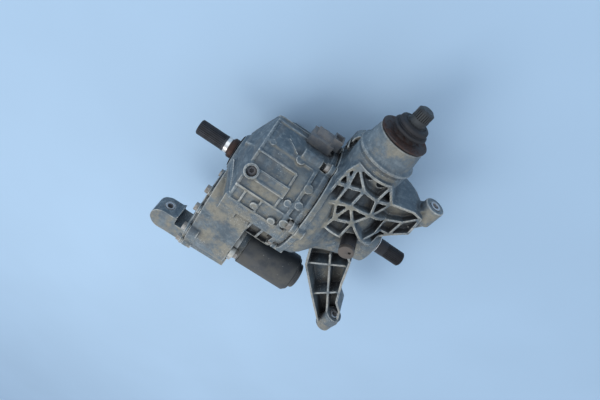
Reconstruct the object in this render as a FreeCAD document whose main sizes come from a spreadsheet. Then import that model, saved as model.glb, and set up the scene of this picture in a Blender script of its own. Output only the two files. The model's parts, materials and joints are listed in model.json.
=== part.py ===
import FreeCAD, Part
import math
import os
import re
import Sketcher
from FreeCAD import Placement, Rotation, Vector

# Rear axle drive unit: a bevel drive, a differential and a clutch on the left output shaft.
# The axle runs along X with the right output at +X. The pinion points forward along +Y.
# Both axes cross axle_height above the flat belly that the unit stands on.

doc = FreeCAD.newDocument("rear_axle")
sheet = doc.addObject("Spreadsheet::Sheet", "Sizes")

SIZES = {
    "axle_height": 104,
    # Output shafts
    "stub_radius": 13,
    "stub_chamfer": 1.6,
    "spline_teeth": 26,
    "spline_depth": 1.5,
    "spline_length": 46,
    "right_spline_length": 34,
    "left_reach": 256,
    "right_reach": 148,
    "land_radius": 13.4,
    "collar_radius": 17,
    "collar_length": 9,
    "journal_radius": 14.4,
    "shaft_radius": 12.9,
    "inner_end": 17,
    # Housing stations along the axle, counted from the pinion axis
    "drum_left": 157,
    "seam": 47,
    "nose_left": 186,
    "nose_right": 85,
    "case_left": 182,
    "case_right": 104,
    "wall": 6,
    "drum_outer": 85,
    "drum_inner": 78,
    "bulkhead_stop": 76,
    "spring_thick": 0.6,
    "bulkhead_left": 93,
    "bulkhead_wall": 8,
    "bulkhead_eye": 24,
    "shaft_room": 20,
    "belly_width": 96,
    "belly_flare": 26,
    "belly_top": 46,
    "drain_height": 80,
    "lid_depth": 6,
    "lid_bolts": 51,
    "fin_height": 4,
    "fin_wall": 5,
    "flange_depth": 9,
    "nose_radius": 31,
    "seal_outer": 26,
    "seal_depth": 8,
    # Bell and neck of the carrier housing
    "bell_radius": 96,
    "bell_wall": 8,
    "neck_radius": 44,
    "neck_ridge": 151,
    "neck_end": 186,
    "neck_end_radius": 37.5,
    # Bearings
    "side_cup": 33,
    "side_journal": 21,
    "side_width": 15,
    "left_bearing_inner": 52,
    "right_bearing_inner": 44,
    "head_cup": 36,
    "head_journal": 18,
    "head_width": 19,
    "head_bearing": 86,
    "front_cup": 31,
    "front_journal": 16,
    "front_width": 16,
    "front_bearing": 150,
    "ball_bearing_outer": 31,
    "ball_bearing_width": 15,
    "ball_radius": 4.4,
    "cup_gap": 0.3,
    # Bevel drive
    "ring_teeth": 37,
    "pinion_teeth": 13,
    "drive_module": 4.2,
    "drive_face": 22,
    "ring_back": 44,
    "ring_bore": 50,
    "pinion_reach": 237,
    "pinion_stub": 12.4,
    "pinion_land_radius": 12.8,
    "pinion_spline_teeth": 24,
    "pinion_spline_length": 14,
    # Differential
    "side_teeth": 16,
    "spider_teeth": 10,
    "spider_module": 3,
    "spider_face": 11,
    "case_radius": 42,
    "case_hollow": 34,
    "case_flange": 62,
    "case_flange_depth": 6,
    "pin_radius": 7,
    # Clutch
    "plates": 6,
    "plate_thick": 2,
    "plate_gap": 0.3,
    "pack_start": 131.5,
    "steel_inner": 48,
    "friction_outer": 67,
    "drum_bore": 68,
    "drum_skin": 74,
    "drum_open": 137,
    "drum_floor": 6,
    "drum_slots": 12,
    "slot_width": 9,
    "hub_outer": 45,
    # Actuator
    "stroke": 1.2,
    "ramp_turn": 36,
    "reaction_face": 164,
    "ramp_outer": 60,
    "ramp_inner": 40,
    "train_module": 2,
    "sector_teeth": 80,
    "idler_small": 22,
    "idler_large": 36,
    "motor_teeth": 12,
    "idler_angle": 172,
    "motor_angle": 162,
    "motor_radius": 36,
    "motor_left": 84,
    "motor_right": 17,
    "cap_radius": 24,
    "cap_depth": 12,
    # Mounting arms
    "arm_bore": 5.25,
    "left_arm_x": 236,
    "left_arm_y": 202,
    "left_arm_z": 20,
    "left_arm_radius": 24,
    "left_arm_height": 40,
    "rear_arm_x": 143,
    "rear_arm_y": 212,
    "rear_arm_z": 22,
    "rear_arm_radius": 17,
    "rear_arm_length": 44,
    "front_arm_x": 113,
    "front_arm_y": 109,
    "front_arm_radius": 17,
    "front_arm_length": 34,
    # Ribs
    "rib_wall": 4.5,
    "lattice_wide": 88,
    "lattice_narrow": 48,
    "lattice_start": 14,
    "lattice_end": 141,
    "pocket_depth": 13,
    "web_bottom": 60,
    # Fasteners
    "bolt_radius": 4,
    "head_height": 6,
    "head_across": 13,
    "bolt_circle": 92,
}

for row, (name, amount) in enumerate(SIZES.items(), start=1):
    sheet.set(f"A{row}", name)
    sheet.set(f"B{row}", str(amount))
    sheet.setAlias(f"B{row}", name)
doc.recompute()

WORD = re.compile(r"[a-z][a-z0-9_]*")
ALONG_X = Rotation(Vector(0, 1, 0), 90)
ALONG_Y = Rotation(Vector(1, 0, 0), -90)
X_TO_Y = Rotation(Vector(0, 0, 1), 90)
AXES = {"x": Vector(1, 0, 0), "y": Vector(0, 1, 0), "z": Vector(0, 0, 1)}


def linked(text):
    """Write a formula with its size names as references to the sheet."""
    return WORD.sub(lambda word: "Sizes." + word.group() if word.group() in SIZES else word.group(), str(text))


def size(text):
    """Work a formula of size names out."""
    return float(sheet.evalExpression(linked(text)))


def formula_point(place):
    return Vector(*[size(part) for part in place])


def settle(item, place=("0", "0", "0"), turn=Rotation()):
    """Put an object where formulas say, turned by a rotation."""
    item.Placement = Placement(formula_point(place), turn)
    for axis, text in zip("xyz", place):
        item.setExpression(f"Placement.Base.{axis}", linked(text))
    return item


def lift(item, place=("0", "0", "0"), turn=Rotation()):
    """Put a finished piece on the axle height."""
    across, forward, up = place
    return settle(item, (across, forward, f"axle_height + {up}"), turn)


def bind(item, **sizes):
    """Set properties from formulas and keep them linked to the sheet."""
    for name, text in sizes.items():
        kind = type(getattr(item, name))
        setattr(item, name, kind(size(text)) if kind in (int, float) else size(text))
        item.setExpression(name, linked(text))
    return item


def sketch_on(body, role, name):
    sketch = body.newObject("Sketcher::SketchObject", name)
    plane = next(item for item in body.Origin.OriginFeatures if item.Role == role)
    sketch.AttachmentSupport = (plane, "")
    sketch.MapMode = "FlatFace"
    return sketch


def draw(sketch, points, first=0):
    """Close an outline through points whose coordinates are formulas."""
    spots = [Vector(size(across), size(up), 0) for across, up in points]
    count = len(points)
    for index in range(count):
        sketch.addGeometry(Part.LineSegment(spots[index], spots[(index + 1) % count]), False)
    for index in range(count):
        following = first + (index + 1) % count
        sketch.addConstraint(Sketcher.Constraint("Coincident", first + index, 2, following, 1))
    for index, (across, up) in enumerate(points):
        for kind, text in (("DistanceX", across), ("DistanceY", up)):
            rule = Sketcher.Constraint(kind, -1, 1, first + index, 1, size(text))
            number = sketch.addConstraint(rule)
            sketch.setExpression(f"Constraints[{number}]", linked(text))
    return first + count


def turned(name, *outlines):
    """Revolve outlines of (along the axis, radius) about the X axis."""
    body = doc.addObject("PartDesign::Body", name)
    sketch = sketch_on(body, "XY_Plane", name + "_outline")
    first = 0
    for points in outlines:
        first = draw(sketch, points, first)
    spin = body.newObject("PartDesign::Revolution", name + "_turn")
    spin.Profile = sketch
    spin.ReferenceAxis = (sketch, ["H_Axis"])
    spin.Angle = 360
    return body


def ring(name, start, end, inner, outer):
    """A plain ring or disc between two stations of the X axis."""
    return turned(name, [(start, inner), (end, inner), (end, outer), (start, outer)])


def padded(name, points, depth, role="XY_Plane"):
    body = doc.addObject("PartDesign::Body", name)
    sketch = sketch_on(body, role, name + "_outline")
    draw(sketch, points)
    pad = body.newObject("PartDesign::Pad", name + "_pad")
    pad.Profile = sketch
    bind(pad, Length=depth)
    return body


def grooved(body, teeth, outer, depth, start, length):
    """Cut straight splines into a turned shaft, from one station along +X."""
    sketch = sketch_on(body, "YZ_Plane", body.Name + "_groove_outline")
    sketch.AttachmentOffset = Placement(Vector(0, 0, size(start)), Rotation())
    sketch.setExpression("AttachmentOffset.Base.z", linked(start))
    wide = f"{outer} * sin(100 / {teeth})"
    top = f"{outer} + 0.5"
    draw(sketch, [(f"-({wide})", top), (wide, top), (f"{wide} * 0.45", f"{outer} - {depth}"),
                  (f"-({wide}) * 0.45", f"{outer} - {depth}")])
    pocket = body.newObject("PartDesign::Pocket", body.Name + "_groove")
    pocket.Profile = sketch
    pocket.Reversed = True
    bind(pocket, Length=length)
    pattern = body.newObject("PartDesign::PolarPattern", body.Name + "_grooves")
    pattern.Originals = [pocket]
    pattern.Axis = (sketch, ["N_Axis"])
    pattern.Angle = 360
    bind(pattern, Occurrences=teeth)
    body.Tip = pattern
    return body


def rod(name, radius, length, place, turn=ALONG_X):
    item = doc.addObject("Part::Cylinder", name)
    bind(item, Radius=radius, Height=length)
    return settle(item, place, turn)


def block(name, sizes, place, turn=Rotation()):
    item = doc.addObject("Part::Box", name)
    bind(item, Length=sizes[0], Width=sizes[1], Height=sizes[2])
    return settle(item, place, turn)


def joined(name, items):
    item = doc.addObject("Part::MultiFuse", name)
    item.Shapes = items
    item.Refine = True
    return item


def overlap(name, first, second):
    """What two shapes have in common."""
    item = doc.addObject("Part::Common", name)
    item.Base = first
    item.Tool = second
    item.Refine = True
    return item


def cut(name, base, tools):
    tool = tools[0] if len(tools) == 1 else joined(name + "_tools", tools)
    item = doc.addObject("Part::Cut", name)
    item.Base = base
    item.Tool = tool
    item.Refine = True
    return item


def shaped(name, shape):
    item = doc.addObject("Part::Feature", name)
    item.Shape = shape
    return item


def strap_face(first, first_radius, second, second_radius):
    """A flat outline in XY around two circles and their outer tangents."""
    reach = second - first
    heading = math.atan2(reach.y, reach.x)
    lean = math.acos((first_radius - second_radius) / reach.Length)

    def spot(centre, radius, angle):
        return centre + Vector(math.cos(angle), math.sin(angle), 0) * radius

    left = heading + lean
    right = heading - lean
    corners = [spot(first, first_radius, left), spot(first, first_radius, right),
               spot(second, second_radius, right), spot(second, second_radius, left)]
    back = Part.Arc(corners[0], spot(first, first_radius, heading + math.pi), corners[1])
    front = Part.Arc(corners[2], spot(second, second_radius, heading), corners[3])
    edges = [back.toShape(), Part.makeLine(corners[1], corners[2]),
             front.toShape(), Part.makeLine(corners[3], corners[0])]
    return Part.Face(Part.Wire(edges))


def strap(name, first, first_radius, second, second_radius, depth, place, turn=Rotation()):
    """A plate around two circles, extruded along its local Z."""
    first_spot = Vector(size(first[0]), size(first[1]), 0)
    second_spot = Vector(size(second[0]), size(second[1]), 0)
    face = strap_face(first_spot, size(first_radius), second_spot, size(second_radius))
    return settle(shaped(name, face.extrude(Vector(0, 0, size(depth)))), place, turn)


# Local X and Y of an outline drawn in the YZ plane, extruded along +X
IN_YZ = Rotation(Vector(1, 1, 1), 120)
IN_XZ = Rotation(Vector(1, 0, 0), 90)


def half_thickness(teeth, module, radius, slack):
    """Half the angle of an involute tooth at one radius."""
    pressure = math.radians(25)
    pitch = module * teeth / 2
    base = pitch * math.cos(pressure)
    at_radius = math.acos(min(1, base / radius))
    rise = math.tan(pressure) - pressure - math.tan(at_radius) + at_radius
    return math.pi / (2 * teeth) + rise - slack / pitch


def spur_face(teeth, module, slack, first=0, last=None, rim=None):
    """A spur gear's outline in XY with a tooth on the X axis."""
    last = teeth if last is None else last
    pitch = module * teeth / 2
    root = pitch - 1.2 * module
    tip = pitch + 0.8 * module
    levels = [root, pitch - 0.4 * module, pitch + 0.2 * module, tip]
    points = []
    for tooth in range(first, last):
        middle = 2 * math.pi * tooth / teeth
        left = [(level, middle - half_thickness(teeth, module, level, slack)) for level in levels]
        right = [(level, middle + half_thickness(teeth, module, level, slack)) for level in reversed(levels)]
        points += left + right
    corners = [Vector(level * math.cos(angle), level * math.sin(angle), 0) for level, angle in points]
    if rim is not None:
        start = points[0][1]
        end = points[-1][1]
        corners += [Vector(rim * math.cos(end), rim * math.sin(end), 0),
                    Vector(rim * math.cos(start), rim * math.sin(start), 0)]
    return Part.Face(Part.makePolygon(corners + corners[:1]))


def bevel_shape(teeth, mate, module, face, slack, gap_first):
    """Straight bevel teeth on their root cone, apex at the origin, axis along +X.

    A tooth, or a gap where gap_first is set, lies over the Y axis."""
    slope = math.atan2(teeth, mate)
    reach = module * teeth / 2 / math.sin(slope)
    inner_scale = (reach - face) / reach
    pitch = module * teeth / 2 / math.cos(slope)
    virtual = teeth / math.cos(slope)
    levels = [pitch - 1.3 * module, pitch - 1.15 * module, pitch - 0.3 * module, pitch + 0.75 * module]
    apex = reach / math.cos(slope)

    def spot(level, angle, scale):
        along = apex - level * math.sin(slope)
        radius = level * math.cos(slope)
        spin = angle / math.cos(slope)
        return Vector(along, radius * math.cos(spin), radius * math.sin(spin)) * scale

    def plate(corners):
        return Part.Face(Part.makePolygon(corners + corners[:1]))

    edges = []
    for level in levels:
        angle = half_thickness(virtual, module, max(level, levels[1]), slack)
        edges.append([spot(level, side * angle, scale) for side in (-1, 1) for scale in (1, inner_scale)])
    sides = []
    for below, above in zip(edges, edges[1:]):
        sides.append(plate([below[0], above[0], above[2], below[2]]))
        sides.append(plate([below[1], above[1], above[3], below[3]]))
        sides.append(plate([below[0], above[0], above[1], below[1]]))
        sides.append(plate([below[2], above[2], above[3], below[3]]))
    for flat in (edges[0], edges[-1]):
        sides.append(plate([flat[0], flat[1], flat[3], flat[2]]))
    tooth = Part.makeSolid(Part.makeShell(sides))
    if tooth.Volume < 0:
        tooth.reverse()
    root = levels[1]
    outer = Vector(apex - root * math.sin(slope), root * math.cos(slope), 0)
    inner = outer * inner_scale
    start = 0.5 if gap_first else 0
    turn = [tooth.rotated(Vector(0, 0, 0), AXES["x"], 360 * (step + start) / teeth) for step in range(teeth)]
    return turn, outer, inner

NODES = []


def keep(item, place=("0", "0", "0"), turn=Rotation()):
    """List a finished piece as a node and lift it to the axle height."""
    lift(item, place, turn)
    NODES.append(item)
    return item


# Axes of the actuator's gears, in YZ from the axle
IDLER_REACH = "(train_module * (sector_teeth + idler_small) / 2)"
MOTOR_REACH = "(train_module * (idler_large + motor_teeth) / 2)"
IDLER_Y = f"({IDLER_REACH} * cos(idler_angle))"
IDLER_Z = f"({IDLER_REACH} * sin(idler_angle))"
MOTOR_Y = f"({IDLER_Y} + {MOTOR_REACH} * cos(motor_angle))"
MOTOR_Z = f"({IDLER_Z} + {MOTOR_REACH} * sin(motor_angle))"


def case_strap(name, grown, start, depth):
    """The gear case's outline behind the drum, grown or shrunk."""
    return strap(name, ("-60", "5"), f"62 + {grown}", (MOTOR_Y, MOTOR_Z), f"50 + {grown}", depth,
                 (start, "0", "0"), IN_YZ)


def arm_beam(name, start, end):
    """The left arm's flat beam behind the gear case, between two stations of X."""
    return block(name, (f"{end} - ({start})", "2 * left_arm_radius", "left_arm_height"),
                 (start, "-left_arm_y - left_arm_radius", "left_arm_z - left_arm_height / 2"))


def lid_strap(name, grown, start, depth):
    """The outline of the gear case's opening, grown or shrunk."""
    return strap(name, (IDLER_Y, IDLER_Z), f"42 + {grown}", (MOTOR_Y, MOTOR_Z), f"40 + {grown}", depth,
                 (start, "0", "0"), IN_YZ)


def case_lugs(name, start, depth):
    return [rod(f"{name}_{number}", "9", depth, (start, *spot)) for number, spot in enumerate(COVER_BOLTS)]


def end_cover():
    """The lid on the gear case's left side, with the boss that carries the idler's pin."""
    lid = lid_strap("cover_lid", "7", "-case_left - lid_depth", "lid_depth")
    boss = rod("cover_pin_boss", "10", "case_left + lid_depth - drum_left - 2.5",
               ("-case_left - lid_depth + 1", IDLER_Y, IDLER_Z))
    dome = rod("cover_motor_dome", "24", "3", ("-case_left - lid_depth - 3", MOTOR_Y, MOTOR_Z))
    pin = rod("cover_pin_hole", "5.03", "20", ("-drum_left - 13", IDLER_Y, IDLER_Z))
    holes = bolt_holes("cover_bolt_hole", COVER_BOLTS, "-case_left - lid_depth - 1", "lid_depth + 2")
    lugs = case_lugs("cover_lug", "-case_left - lid_depth", "lid_depth")
    keep(cut("end_cover", joined("cover_outside", [lid, boss, dome] + lugs), [pin] + holes))


def around(radius, degrees):
    """A place on a circle about the axle, from +Y towards +Z, as two formulas."""
    return f"(({radius}) * cos({degrees}))", f"(({radius}) * sin({degrees}))"


COVER_BOLTS = [(f"{IDLER_Y} + lid_bolts * cos({degrees})", f"{IDLER_Z} + lid_bolts * sin({degrees})")
               for degrees in (40, 80, 280)]
COVER_BOLTS += [(f"{MOTOR_Y} + lid_bolts * cos({degrees})", f"{MOTOR_Z} + lid_bolts * sin({degrees})")
                for degrees in (75, 130, 238)]
MOTOR_BOLTS = [(f"{MOTOR_Y} + (motor_radius + 8) * cos({degrees})",
                f"{MOTOR_Z} + (motor_radius + 8) * sin({degrees})") for degrees in (75, 195, 315)]
SEAM_BOLTS = [around("bolt_circle", degrees) for degrees in (16, 83, 140, 190, 231, 309, 334)]


def bolt_holes(name, spots, start, depth):
    return [rod(f"{name}_{number}", "bolt_radius + 0.15", depth, (start, *spot))
            for number, spot in enumerate(spots)]


def drum_outline(grown="0"):
    """The clutch housing's profile from the output nose to the seam, as (along X, radius)."""
    return [("-nose_left + 4", f"nose_radius + 2 + {grown}"), ("-nose_left + 8", f"nose_radius + 13 + {grown}"),
            ("-drum_left - 3", f"drum_outer - 2 + {grown}"), ("-drum_left + 2", f"drum_outer + {grown}"),
            ("-seam - flange_depth - 4", f"drum_outer + {grown}")]


def fin(name, degrees, height):
    """A rib that follows the drum's profile from the nose to the seam, in a plane through the axle."""
    profile = drum_outline(height)
    outline = [("-nose_left + 8", "nose_radius")] + profile + [("-seam - flange_depth - 4", "drum_outer - 4"),
                                                              ("-drum_left + 5", "drum_outer - 4")]
    plate = padded(name, outline, "fin_wall")
    place = ("0", f"fin_wall / 2 * sin({degrees})", f"-fin_wall / 2 * cos({degrees})")
    return settle(plate, place, Rotation(AXES["x"], degrees))


def sump(name, width, stations):
    """The oil sump below the axle: flat underneath, narrowing to it from both sides and from one end."""
    start, flat_end, end = stations
    across = padded(f"{name}_across", [
        (f"-({width}) / 2 - belly_flare", "-belly_top"), (f"-({width}) / 2", "-axle_height"),
        (f"({width}) / 2", "-axle_height"), (f"({width}) / 2 + belly_flare", "-belly_top")], "400")
    settle(across, ("-200", "0", "0"), IN_YZ)
    along = padded(f"{name}_along", [(start, "-belly_top + 2"), (start, "-axle_height"),
                                     (flat_end, "-axle_height"), (end, "-belly_top + 2")], "400")
    settle(along, ("0", "200", "0"), IN_XZ)
    return overlap(name, across, along)


def clutch_housing():
    """The left casting: output nose, cone, clutch drum, gear case and left arm in one piece."""
    drum = turned("drum_outside", [("-nose_left", "0"), ("-nose_left", "nose_radius")] + drum_outline() + [
        ("-seam - flange_depth", "drum_outer + 5"), ("-seam", "drum_outer + 5"), ("-seam", "0")])
    fins = [fin("fin_top", 97, "fin_height"), fin("fin_side", 24, "1.5"), fin("fin_front", -30, "fin_height")]
    case = case_strap("drum_case", "0", "-case_left", "case_left - case_right")
    beam = arm_beam("drum_beam", "-left_arm_x", "-case_right + 8")
    tip = rod("arm_tip_end", "left_arm_radius", "left_arm_height",
              ("-left_arm_x", "-left_arm_y", "left_arm_z - left_arm_height / 2"), Rotation())
    root = strap("arm_root", ("-left_arm_x + 24", "-left_arm_y"), "left_arm_radius - 1",
                 ("-case_left + 36", f"{MOTOR_Y} - 18"), "34", "left_arm_height - 2",
                 ("0", "0", "left_arm_z - left_arm_height / 2"))
    keys = [block(f"lug_key_{side}", ("12", "9", "5"), ("-drum_left + 7", "drum_inner - 7", place))
            for side, place in (("up", "5.3"), ("down", "-10.3"))]
    lugs = [rod(f"seam_lug_{number}", "9.5", "flange_depth", ("-seam - flange_depth", *spot))
            for number, spot in enumerate(SEAM_BOLTS)]
    long_boss = rod("long_seam_boss", "9", "54", ("-seam - 54", *around("bolt_circle - 3", 16)))
    belly = sump("drum_belly", "belly_width - 8", ("-seam", "-seam - 84", "-seam - 108"))
    inside = turned("clutch_hollow", [
        ("-nose_left - 1", "0"), ("-nose_left - 1", "seal_outer"), ("-nose_left + seal_depth", "seal_outer"),
        ("-nose_left + seal_depth", "seal_outer - 4"),
        ("-reaction_face + 3 - ball_bearing_width", "seal_outer - 4"),
        ("-reaction_face + 3 - ball_bearing_width", "ball_bearing_outer"),
        ("-reaction_face + 3", "ball_bearing_outer"), ("-reaction_face + 3", "ball_bearing_outer + 6"),
        ("-reaction_face", "ball_bearing_outer + 6"), ("-reaction_face", "ramp_outer + 3"),
        ("-reaction_face + 4", "drum_inner"), ("-bulkhead_stop", "drum_inner"),
        ("-bulkhead_stop", "drum_inner + 2"), ("-seam - 8", "drum_inner + 2"),
        ("-seam", "bell_radius - bell_wall"), ("-seam + 1", "bell_radius - bell_wall"), ("-seam + 1", "0")])
    lid_room = lid_strap("lid_room", "8.5", "-case_left - 30", "30")
    train = lid_strap("train_hollow", "0", "-case_left - 1", "case_left + 1 - 140")
    motor_well = rod("motor_well", "30", "30", ("-142", MOTOR_Y, MOTOR_Z))
    motor_eye = rod("motor_eye", "22", "20", ("-case_right - 12", MOTOR_Y, MOTOR_Z))
    motor_seat = rod("motor_seat", "motor_radius + 19", "20", ("-case_right", MOTOR_Y, MOTOR_Z))
    sweep = rod("sector_room", "drum_outer - 0.6", "9", ("-drum_left - 1", "0", "0"))
    bind(sweep, Angle="100")
    settle(sweep, ("-drum_left - 1", "0", "0"), Rotation(AXES["x"], 123).multiply(IN_YZ))
    pin = rod("drum_pin_hole", "5.03", "14", ("-141", IDLER_Y, IDLER_Z))
    tilt = Rotation(AXES["x"], -31)
    bar = block("gallery", ("58", "19", "12"), ("-drum_left + 10", "-9.5 * cos(31) + 78 * sin(31)",
                                                "9.5 * sin(31) + 78 * cos(31)"), tilt)
    tray = block("gallery_tray", ("46", "11", "4"), ("-drum_left + 18", "-5.5 * cos(31) + 88.3 * sin(31)",
                                                    "5.5 * sin(31) + 88.3 * cos(31)"), tilt)
    fill = rod("fill_boss", "12", "20", ("-drum_left + 8", *around("72", 59)), tilt)
    fill_hole = rod("fill_hole", "7.8", "20", ("-drum_left + 8", *around("75.4", 59)), tilt)
    case_bosses = case_lugs("case_lug", "-case_left", "18")
    gallery = cut("gallery_bar", bar, [tray])
    outside = joined("drum_outside_all", [drum, case, beam, tip, root, belly, gallery, fill, long_boss, shelf()]
                     + fins + lugs)
    hole = rod("arm_hole", "arm_bore + 3.5", "3 * left_arm_radius",
               ("-left_arm_x", "-left_arm_y - 1.5 * left_arm_radius", "left_arm_z"), ALONG_Y)
    holes = bolt_holes("drum_cover_hole", COVER_BOLTS, "-case_left - 1", "17")
    holes += bolt_holes("drum_seam_hole", SEAM_BOLTS, "-seam - flange_depth - 1", "flange_depth + 2")
    holes += bolt_holes("drum_motor_hole", MOTOR_BOLTS, "-case_right - 12", "13")
    rooms = [rod(f"drum_bolt_room_{number}", "9", "12", ("-seam - flange_depth - 12", *spot))
             for number, spot in enumerate(SEAM_BOLTS)]
    cleared = joined("drum_cleared", [cut("drum_before_lid", outside, [lid_room])] + case_bosses)
    body = cut("drum_body", cleared, [inside, train, motor_well, motor_eye, motor_seat, sweep, pin, hole,
                                      fill_hole] + holes + rooms)
    keep(joined("clutch_housing", [body] + keys))


def bulkhead():
    """The disc between clutch and gear oil, with the seat of the left carrier bearing."""
    face = "-bulkhead_left + bulkhead_wall"
    keep(turned("clutch_bulkhead", [
        ("-bulkhead_left", "bulkhead_eye"), (face, "bulkhead_eye"), (face, "shaft_room"),
        ("-left_bearing_inner - side_width", "shaft_room"), ("-left_bearing_inner - side_width", "side_cup"),
        ("-left_bearing_inner", "side_cup"), ("-left_bearing_inner", "side_cup + 7"),
        (f"{face} + 7", "side_cup + 9"), (face, "side_cup + 16"), (face, "drum_inner - 10"),
        ("-bulkhead_stop", "drum_inner - 4"), ("-bulkhead_stop + 14", "drum_inner - 4"),
        ("-bulkhead_stop + 14", "drum_inner + 1.95"), ("-bulkhead_stop", "drum_inner + 1.95"),
        ("-bulkhead_stop", "drum_inner - 0.05"), ("-bulkhead_left", "drum_inner - 0.05")]))


SHELF_POCKETS = [("-132", "26"), ("-102", "17"), ("-81", "17")]


def shelf():
    """The flat back of the drum above the gear case, with pockets between its ribs."""
    plate = padded("shelf_plate", [("-10", "60"), ("-10", "drum_outer + 0.5"), ("-46", "78"), ("-84", "60"),
                                   ("-102", "45"), ("-104", "30"), ("-60", "20")], "drum_left - 50")
    settle(plate, ("-drum_left - 6", "0", "0"), IN_YZ)
    pockets = [block(f"shelf_pocket_{number}", (long, "46", "60"), (start, "-88", "30"))
               for number, (start, long) in enumerate(SHELF_POCKETS)]
    floor = padded("shelf_floor", [("-30", "50"), ("-40", "68"), ("-84", "49"), ("-95", "40"), ("-60", "20")],
                   "drum_left - 52")
    settle(floor, ("-drum_left - 4", "0", "0"), IN_YZ)
    return joined("shelf", [cut("shelf_ribs", plate, pockets), floor])


def wall(start, end, thick, bottom, height):
    """An upright wall between two plan points, round at both ends."""
    face = strap_face(Vector(*start, 0), thick / 2, Vector(*end, 0), thick / 2 - 0.001)
    face.translate(Vector(0, 0, bottom))
    return face.extrude(Vector(0, 0, height))


def plan_prism(points, bottom, height):
    corners = [Vector(across, forward, bottom) for across, forward in points]
    return Part.Face(Part.makePolygon(corners + corners[:1])).extrude(Vector(0, 0, height))


# Plan points where the ribs of the lattice cross
CROSSINGS = {
    "flange_low": (-38, 34), "flange_mid": (-38, 62), "flange_high": (-40, 92), "shoulder": (-36, 116),
    "neck_left": (-30, 134), "neck_right": (26, 134), "ridge": (-24, 102), "hub": (-4, 84), "top": (-2, 112),
    "mid": (14, 64), "low": (-12, 54), "side": (-24, 76), "branch": (30, 84), "bell_low": (46, 40),
    "bell_mid": (12, 36), "upper": (22, 108), "web": (62, 76), "web_low": (60, 52), "rim": (68, 30),
    "web_top": (48, 106), "web_back": (62, 108), "arm_top": (86, 110), "arm_low": (110, 68), "arm_mid": (86, 84),
    "arm_tip": (104, 104), "web_foot": (86, 50), "root": (-16, 36),
}
LATTICE = [
    ("flange_low", "root"), ("root", "low"), ("flange_mid", "side"), ("side", "low"), ("flange_high", "ridge"),
    ("side", "ridge"), ("ridge", "shoulder"), ("side", "hub"), ("ridge", "top"), ("top", "hub"), ("hub", "low"),
    ("hub", "mid"), ("mid", "low"), ("mid", "bell_mid"), ("mid", "branch"), ("hub", "branch"), ("top", "upper"),
    ("upper", "branch"), ("branch", "web"), ("mid", "bell_low"), ("web", "web_low"), ("web_low", "bell_low"),
    ("web", "arm_mid"), ("arm_mid", "arm_tip"), ("arm_mid", "web_foot"), ("web_low", "web_foot"),
    ("upper", "web_top"), ("web_top", "web_back"), ("web_back", "arm_top"), ("arm_top", "arm_tip"),
    ("arm_low", "arm_tip"), ("web_foot", "arm_low"), ("rim", "web_foot"), ("neck_left", "ridge"),
    ("web_top", "branch"), ("neck_right", "web_top"), ("bell_low", "rim"), ("top", "neck_left"),
    ("upper", "neck_right"), ("flange_high", "shoulder"), ("shoulder", "neck_left"),
]
SHOULDER = ["flange_low", "flange_high", "shoulder", "neck_left", "neck_right", "web_top", "web_back",
            "arm_top", "arm_tip", "arm_low", "web_foot", "rim", "bell_low", "bell_mid", "root"]


def lattice_envelope(drop):
    """The cone about the neck and the front arm's wedge, as high as the ribs reach less a drop."""
    start = size("lattice_start")
    length = size("lattice_end") - start
    cone = Part.makeCone(size("lattice_wide") - drop, size("lattice_narrow") - drop, length,
                         Vector(0, start, 0), AXES["y"])
    boss = size("front_arm_radius")
    deep = size("web_bottom")
    profile = [(20, -deep), (size("front_arm_x") / 2, -deep), (size("front_arm_x") - 10, -boss),
               (size("front_arm_x") + 12, -boss), (size("front_arm_x") + 12, boss - drop),
               (size("front_arm_x") - 8, boss + 4 - drop), (58, 34 - drop), (20, 44 - drop)]
    corners = [Vector(across, 20, up) for across, up in profile]
    wedge = Part.Face(Part.makePolygon(corners + corners[:1])).extrude(Vector(0, size("front_arm_y") - 17, 0))
    return cone.fuse(wedge)


def lattice():
    """The honeycomb of ribs from the seam flange round the neck to the front arm."""
    bottom = -size("web_bottom")
    rib = size("rib_wall")
    outline = [CROSSINGS[name] for name in SHOULDER]
    floor = plan_prism(outline, bottom, 150).common(lattice_envelope(size("pocket_depth")))
    walls = [wall(CROSSINGS[start], CROSSINGS[end], rib, bottom, 150) for start, end in LATTICE]
    ribs = walls[0].fuse(walls[1:]).common(lattice_envelope(0))
    return shaped("lattice", floor.fuse(ribs).removeSplitter())


def gusset():
    """The low web between the seam flange and the neck, with upright ribs on it."""
    plan = [(-44, 60), (-46, 96), (-56, 104), (-56, 116), (-42, 132), (-20, 148), (-6, 140), (-6, 60)]
    plate = plan_prism(plan, -52, 6)
    bars = [((-54, 114), (-30, 96)), ((-42, 130), (-20, 112)), ((-54, 106), (-42, 132)),
            ((-42, 132), (-20, 146))]
    ribs = [wall(start, end, size("rib_wall"), -50, 24) for start, end in bars]
    return shaped("gusset", plate.fuse(ribs).removeSplitter())


REAR_ARM = [(4, -52), (24, -103), (74, -163), (119, -214), (130, -226), (152, -226), (156, -200), (139, -164),
            (120, -146), (97, -96), (76, -40), (52, -20)]
REAR_RIBS = [((44, -56), (140, -214)), ((24, -103), (82, -56)), ((77, -166), (110, -124))]


def rear_arm():
    """The channel-shaped arm with a central rib and cross ribs."""
    height = size("left_arm_height + 4")
    bottom = -size("left_arm_height") / 4
    floor = plan_prism(REAR_ARM, bottom, height / 4)
    edges = list(zip(REAR_ARM, REAR_ARM[1:] + REAR_ARM[:1]))
    rim = [wall(start, end, size("rib_wall"), bottom, height) for start, end in edges]
    ribs = [wall(start, end, size("rib_wall"), bottom, height - 6) for start, end in REAR_RIBS]
    return shaped("rear_arm", floor.fuse(rim + ribs).removeSplitter())


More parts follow.
